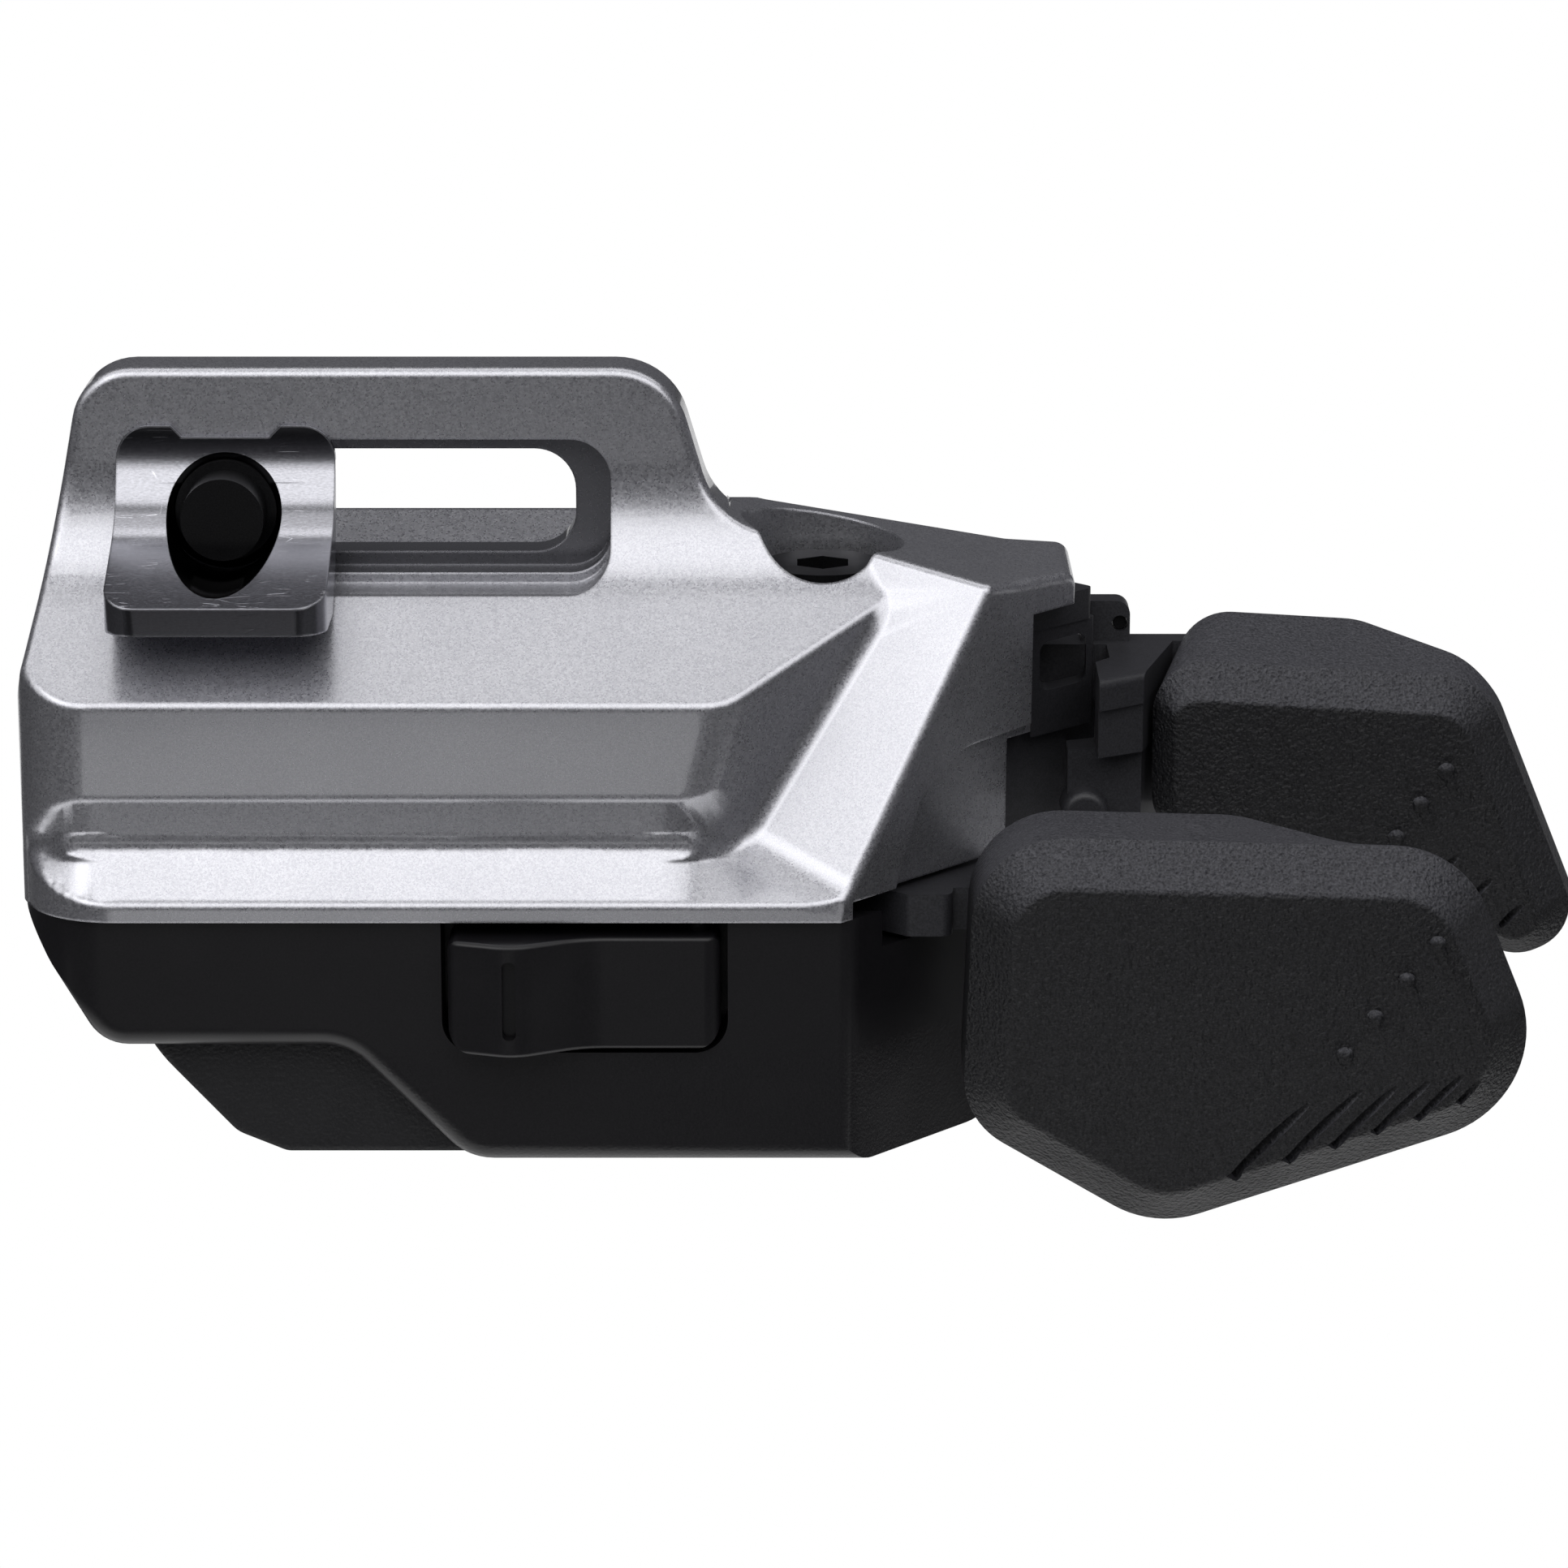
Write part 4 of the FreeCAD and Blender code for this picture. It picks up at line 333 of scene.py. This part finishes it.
def recut_seat(source):
    """Washer's mesh with its whole seat cut afresh, because the back of the key stands through it.

    The cutter's side is an upright wall, a round bend and a floor that falls towards the front.
    """
    wall, bend, level = 4.12, 5.4, 0.25
    fall = math.atan2(3.35, 8.3)
    top, run, half_width, steps = 6.0, 9, 7, 40
    high = level + bend * math.tan(math.pi / 4 - fall / 2)
    side = [(wall, top), (wall, high)]
    for step in range(1, steps + 1):
        turn = (math.pi / 2 - fall) * step / steps
        side.append((wall - bend + bend * math.cos(turn), high - bend * math.sin(turn)))
    side.append((side[-1][0] - run * math.cos(fall), side[-1][1] - run * math.sin(fall)))
    side.append((side[-1][0], top))
    count = len(side)
    spots = [(x * MM, y * MM, z * MM) for x in (-half_width, half_width) for y, z in side]
    faces = [tuple(range(count)), tuple(range(2 * count - 1, count - 1, -1))]
    faces += [(i, i + count, (i + 1) % count + count, (i + 1) % count) for i in range(count)]
    room = bpy.data.meshes.new("seat_room")
    room.from_pydata(spots, [], faces)
    cutter = bmesh.new()
    cutter.from_mesh(room)
    bmesh.ops.recalc_face_normals(cutter, faces=cutter.faces)
    cutter.to_mesh(room)
    cutter.free()
    tool = bpy.data.objects.new("seat_room", room)
    blank = bpy.data.objects.new("seat_blank", source.data.copy())
    for item in (tool, blank):
        bpy.context.scene.collection.objects.link(item)
    washer = bmesh.new()
    washer.from_mesh(blank.data)
    bmesh.ops.remove_doubles(washer, verts=washer.verts, dist=WELD * MM)
    washer.to_mesh(blank.data)
    washer.free()
    trim = blank.modifiers.new("trim", "BOOLEAN")
    trim.operation = "DIFFERENCE"
    trim.solver = "EXACT"
    trim.object = tool
    graph = bpy.context.evaluated_depsgraph_get()
    result = bpy.data.meshes.new_from_object(blank.evaluated_get(graph))
    for item in (tool, blank):
        bpy.data.objects.remove(item)
    return result


def ease_groove(made):
    """Brings the shell's groove forward a little, so that the lip below it stands steeper.

    The shift is greatest in the valley, fades with the distance from it and fades again towards both ends. The
    flat faces round it are cut across near the ends first, so that the fades have vertices to work on.
    """
    valley_y, valley_z = -1.5 * MM, -15.4 * MM
    forward, up = -1.25 * MM, 0.25 * MM
    reach, cleared, gain = 2.7 * MM, 4.5 * MM, 1.4
    left_end, left_fade, right_end, right_fade = -9.5, 3, 25.5, 4
    cuts = (-9.0, -8.5, -8.0, -7.5, -7.0, -6.5, -6.0, -5.0, 20.0, 21.0, 21.5, 22.2, 22.9, 23.6, 24.3, 25.0)
    flat = [edge for edge in made.edges
            if len(edge.link_faces) == 2 and edge.calc_face_angle(1.0) < math.radians(0.3)
            and all(math.hypot(spot.co.y - valley_y, spot.co.z - valley_z) < cleared for spot in edge.verts)]
    bmesh.ops.dissolve_edges(made, edges=flat, use_verts=False, use_face_split=False)
    for x in cuts:
        bmesh.ops.bisect_plane(made, geom=made.verts[:] + made.edges[:] + made.faces[:], dist=0.001 * MM,
                               plane_co=(x * MM, 0, 0), plane_no=(1, 0, 0))
    for spot in made.verts:
        near = 1 - math.hypot(spot.co.y - valley_y, spot.co.z - valley_z) / reach
        if near > 0:
            from_left = max((spot.co.x / MM - left_end) / left_fade, 0.0)
            from_right = max((right_end - spot.co.x / MM) / right_fade, 0.0)
            from_end = min(from_left, from_right, 1.0)
            share = near * near * (3 - 2 * near) * from_end * from_end * (3 - 2 * from_end)
            spot.co.y += forward * min(1.0, gain * share)
            spot.co.z += up * min(1.0, gain * share)
    lip = [spot for spot in made.verts if -8.2 < spot.co.x / MM < 21.3 and -4.6 < spot.co.y / MM < -2.2
           and -17.6 < spot.co.z / MM < -15.2]
    for _ in range(4):
        bmesh.ops.smooth_vert(made, verts=lip, factor=0.5, use_axis_x=False, use_axis_y=True, use_axis_z=True)


def ease_deck(made):
    """Lowers the rear corner of the shell's deck, which stands up beside the plate."""
    deck = -0.98
    for spot in made.verts:
        x, y, z = spot.co / MM
        if y > 8.05 and 24.0 < x < 25.6 and -1.6 < z:
            spot.co.z = min(z, deck) * MM


def deepen_arm(made):
    """Brings down the foot of the upper lever's arm, so that no light shows between it and the pads."""
    foot_from_x, foot_below_z, deeper = 43, -15.5, 1.0
    for spot in made.verts:
        x, _, z = spot.co / MM
        if x > foot_from_x and z < foot_below_z:
            spot.co.z -= deeper * MM


def round_cover_front(made):
    """Rounds the outline of the battery cover's front face."""
    rounding, segments = 0.45, 4
    bmesh.ops.dissolve_limit(made, angle_limit=math.radians(0.5), verts=made.verts, edges=made.edges)
    front = min(spot.co.y for spot in made.verts) + 0.02 * MM
    outline = [edge for edge in made.edges if all(spot.co.y < front for spot in edge.verts)
               and len(edge.link_faces) == 2 and edge.calc_face_angle(0.0) > math.radians(30)]
    bmesh.ops.bevel(made, geom=outline, offset=rounding * MM, offset_type="OFFSET", segments=segments, profile=0.5,
                    affect="EDGES", clamp_overlap=True)


RESHAPED = {
    "top_housing": (ease_groove, ease_deck),
    "battery_cover": (round_cover_front,),
    "upper_lever_arm": (deepen_arm,),
}


def dressed(name, source, slot, body):
    """Copy of a CAD node with its faces joined, so that roundings shade as one surface."""
    mesh = bpy.data.meshes.new(name + "_skin")
    made = bmesh.new()
    made.from_mesh(recut_seat(source) if name == "saddle_washer" else source.data)
    bmesh.ops.remove_doubles(made, verts=made.verts, dist=WELD * MM)
    for reshape in RESHAPED.get(name, ()):
        reshape(made)
    for face in made.faces:
        face.smooth = True
    for edge in made.edges:
        if len(edge.link_faces) == 2 and edge.calc_face_angle(0.0) > math.radians(SHARP):
            edge.smooth = False
    made.to_mesh(mesh)
    made.free()
    rough = bpy.data.objects.new(name + "_rough", mesh)
    bpy.context.scene.collection.objects.link(rough)
    weigh = rough.modifiers.new("weigh", "WEIGHTED_NORMAL")
    weigh.keep_sharp = True
    weigh.weight = 80
    graph = bpy.context.evaluated_depsgraph_get()
    final = bpy.data.meshes.new_from_object(rough.evaluated_get(graph))
    bpy.data.objects.remove(rough)
    final.materials.clear()
    final.materials.append(MATERIALS[slot])
    piece = bpy.data.objects.new(name + "_piece", final)
    bpy.context.scene.collection.objects.link(piece)
    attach(piece, body)
    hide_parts(name)


slot_of = {part["node"]: part["material_slot"] for part in frame["record"]["subparts"]}
body_of = {node: body for body, nodes in frame["record"]["behaviour"]["bodies"].items() for node in nodes}
for name in sorted(frame["nodes"]):
    dressed(name, frame["nodes"][name], slot_of[name], body_of[name])


# Stage, lamps and camera

WHITE = (1, 1, 1, 1)


def white_to_camera(tree, white, otherwise, output):
    """Shows the camera a white and every other ray what it should light or reflect."""
    path = add(tree, "ShaderNodeLightPath")
    joint = add(tree, "ShaderNodeMixShader", {0: path.outputs["Is Camera Ray"], 1: otherwise, 2: white})
    fill(tree, output, {"Surface": joint.outputs[0]})


def floor():
    """Pale floor, seen white and grey to the light that bounces off it."""
    half, drop = 3.0, 0.06      # metres
    level = cad_box[0][2] - drop
    mesh = bpy.data.meshes.new("floor")
    corners = [(-half, -half, level), (half, -half, level), (half, half, level), (-half, half, level)]
    mesh.from_pydata(corners, [], [(0, 1, 2, 3)])
    plane = bpy.data.objects.new("floor", mesh)
    bpy.context.scene.collection.objects.link(plane)
    material = bpy.data.materials.new("pale_floor")
    material.use_nodes = True
    tree = material.node_tree
    tree.nodes.remove(tree.nodes["Principled BSDF"])
    white = add(tree, "ShaderNodeEmission", {"Color": WHITE, "Strength": 1.0}).outputs[0]
    grey = add(tree, "ShaderNodeBsdfDiffuse", {"Color": colour("#6a6a6c")}).outputs[0]
    white_to_camera(tree, white, grey, tree.nodes["Material Output"])
    mesh.materials.append(material)


def backdrop():
    """White all round to the camera, a dim room to everything else."""
    world = bpy.data.worlds.new("studio")
    bpy.context.scene.world = world
    world.use_nodes = True
    tree = world.node_tree
    tree.nodes.remove(tree.nodes["Background"])
    white = add(tree, "ShaderNodeBackground", {"Color": WHITE, "Strength": 1.0}).outputs[0]
    dim = add(tree, "ShaderNodeBackground", {"Color": colour("#76767c"), "Strength": 0.38}).outputs[0]
    white_to_camera(tree, white, dim, tree.nodes["World Output"])


def softbox(name, bearing, rise, distance, width, height, glow):
    """Rectangular lamp on a sphere round the part: bearing from the front, rise above level, in degrees."""
    turn, lift = math.radians(bearing), math.radians(rise)
    aim = Vector((27, 0, -8))
    way = Vector((math.sin(turn) * math.cos(lift), -math.cos(turn) * math.cos(lift), math.sin(lift)))
    lamp = bpy.data.lights.new(name, "AREA")
    lamp.shape = "RECTANGLE"
    lamp.size = width * MM
    lamp.size_y = height * MM
    lamp.energy = glow * math.pi * width * height * MM * MM
    stand = bpy.data.objects.new(name, lamp)
    stand.location = (aim + way * distance) * MM
    stand.rotation_euler = (-way).to_track_quat("-Z", "Y").to_euler()
    stand.visible_camera = False
    bpy.context.scene.collection.objects.link(stand)


def camera():
    """Camera at the photograph's viewing angle, 15 degrees down on the front."""
    sensor, focal_pixels, photo_pixels = 36.0, 7000, 1932
    eye = bpy.data.cameras.new("camera")
    eye.sensor_width = sensor
    eye.lens = sensor * focal_pixels / photo_pixels
    eye.clip_start = 0.01
    eye.clip_end = 20.0
    viewer = bpy.data.objects.new("camera", eye)
    viewer.location = Vector((27.0, -265.46, 58.37)) * MM
    viewer.rotation_euler = (math.radians(75), 0, 0)
    bpy.context.scene.collection.objects.link(viewer)
    bpy.context.scene.camera = viewer


# Each lamp's bearing, rise, distance, width, height and glow, and the faces that show it in the photograph's view
LAMPS = {
    "front_bank": (0, 47, 300, 520, 240, 1.9),          # faces that lean a third of the way up, as the ridge does
    "top_bank": (0, 87, 300, 520, 110, 1.0),            # faces that lean over half-way up
    "rear_strip": (0, 103, 300, 520, 56, 1.9),          # rounded upper edges
    "left_bank": (-60, 34, 320, 220, 200, 1.2),         # faces turned to the left and a little up
    "front_card": (-10, -16.6, 207, 84, 18, 1.3),       # upright front faces
    "under_bank": (0, -90, 80, 220, 110, 1.1),          # faces that look down
    "right_card": (116, -6, 300, 160, 90, 0.55),        # the right side wall
    "rear_card": (180, -10, 260, 400, 70, 0.8),         # the back, in other views
}

floor()
backdrop()
for name, settings in LAMPS.items():
    softbox(name, *settings)
camera()
bpy.context.scene.view_settings.view_transform = "Standard"
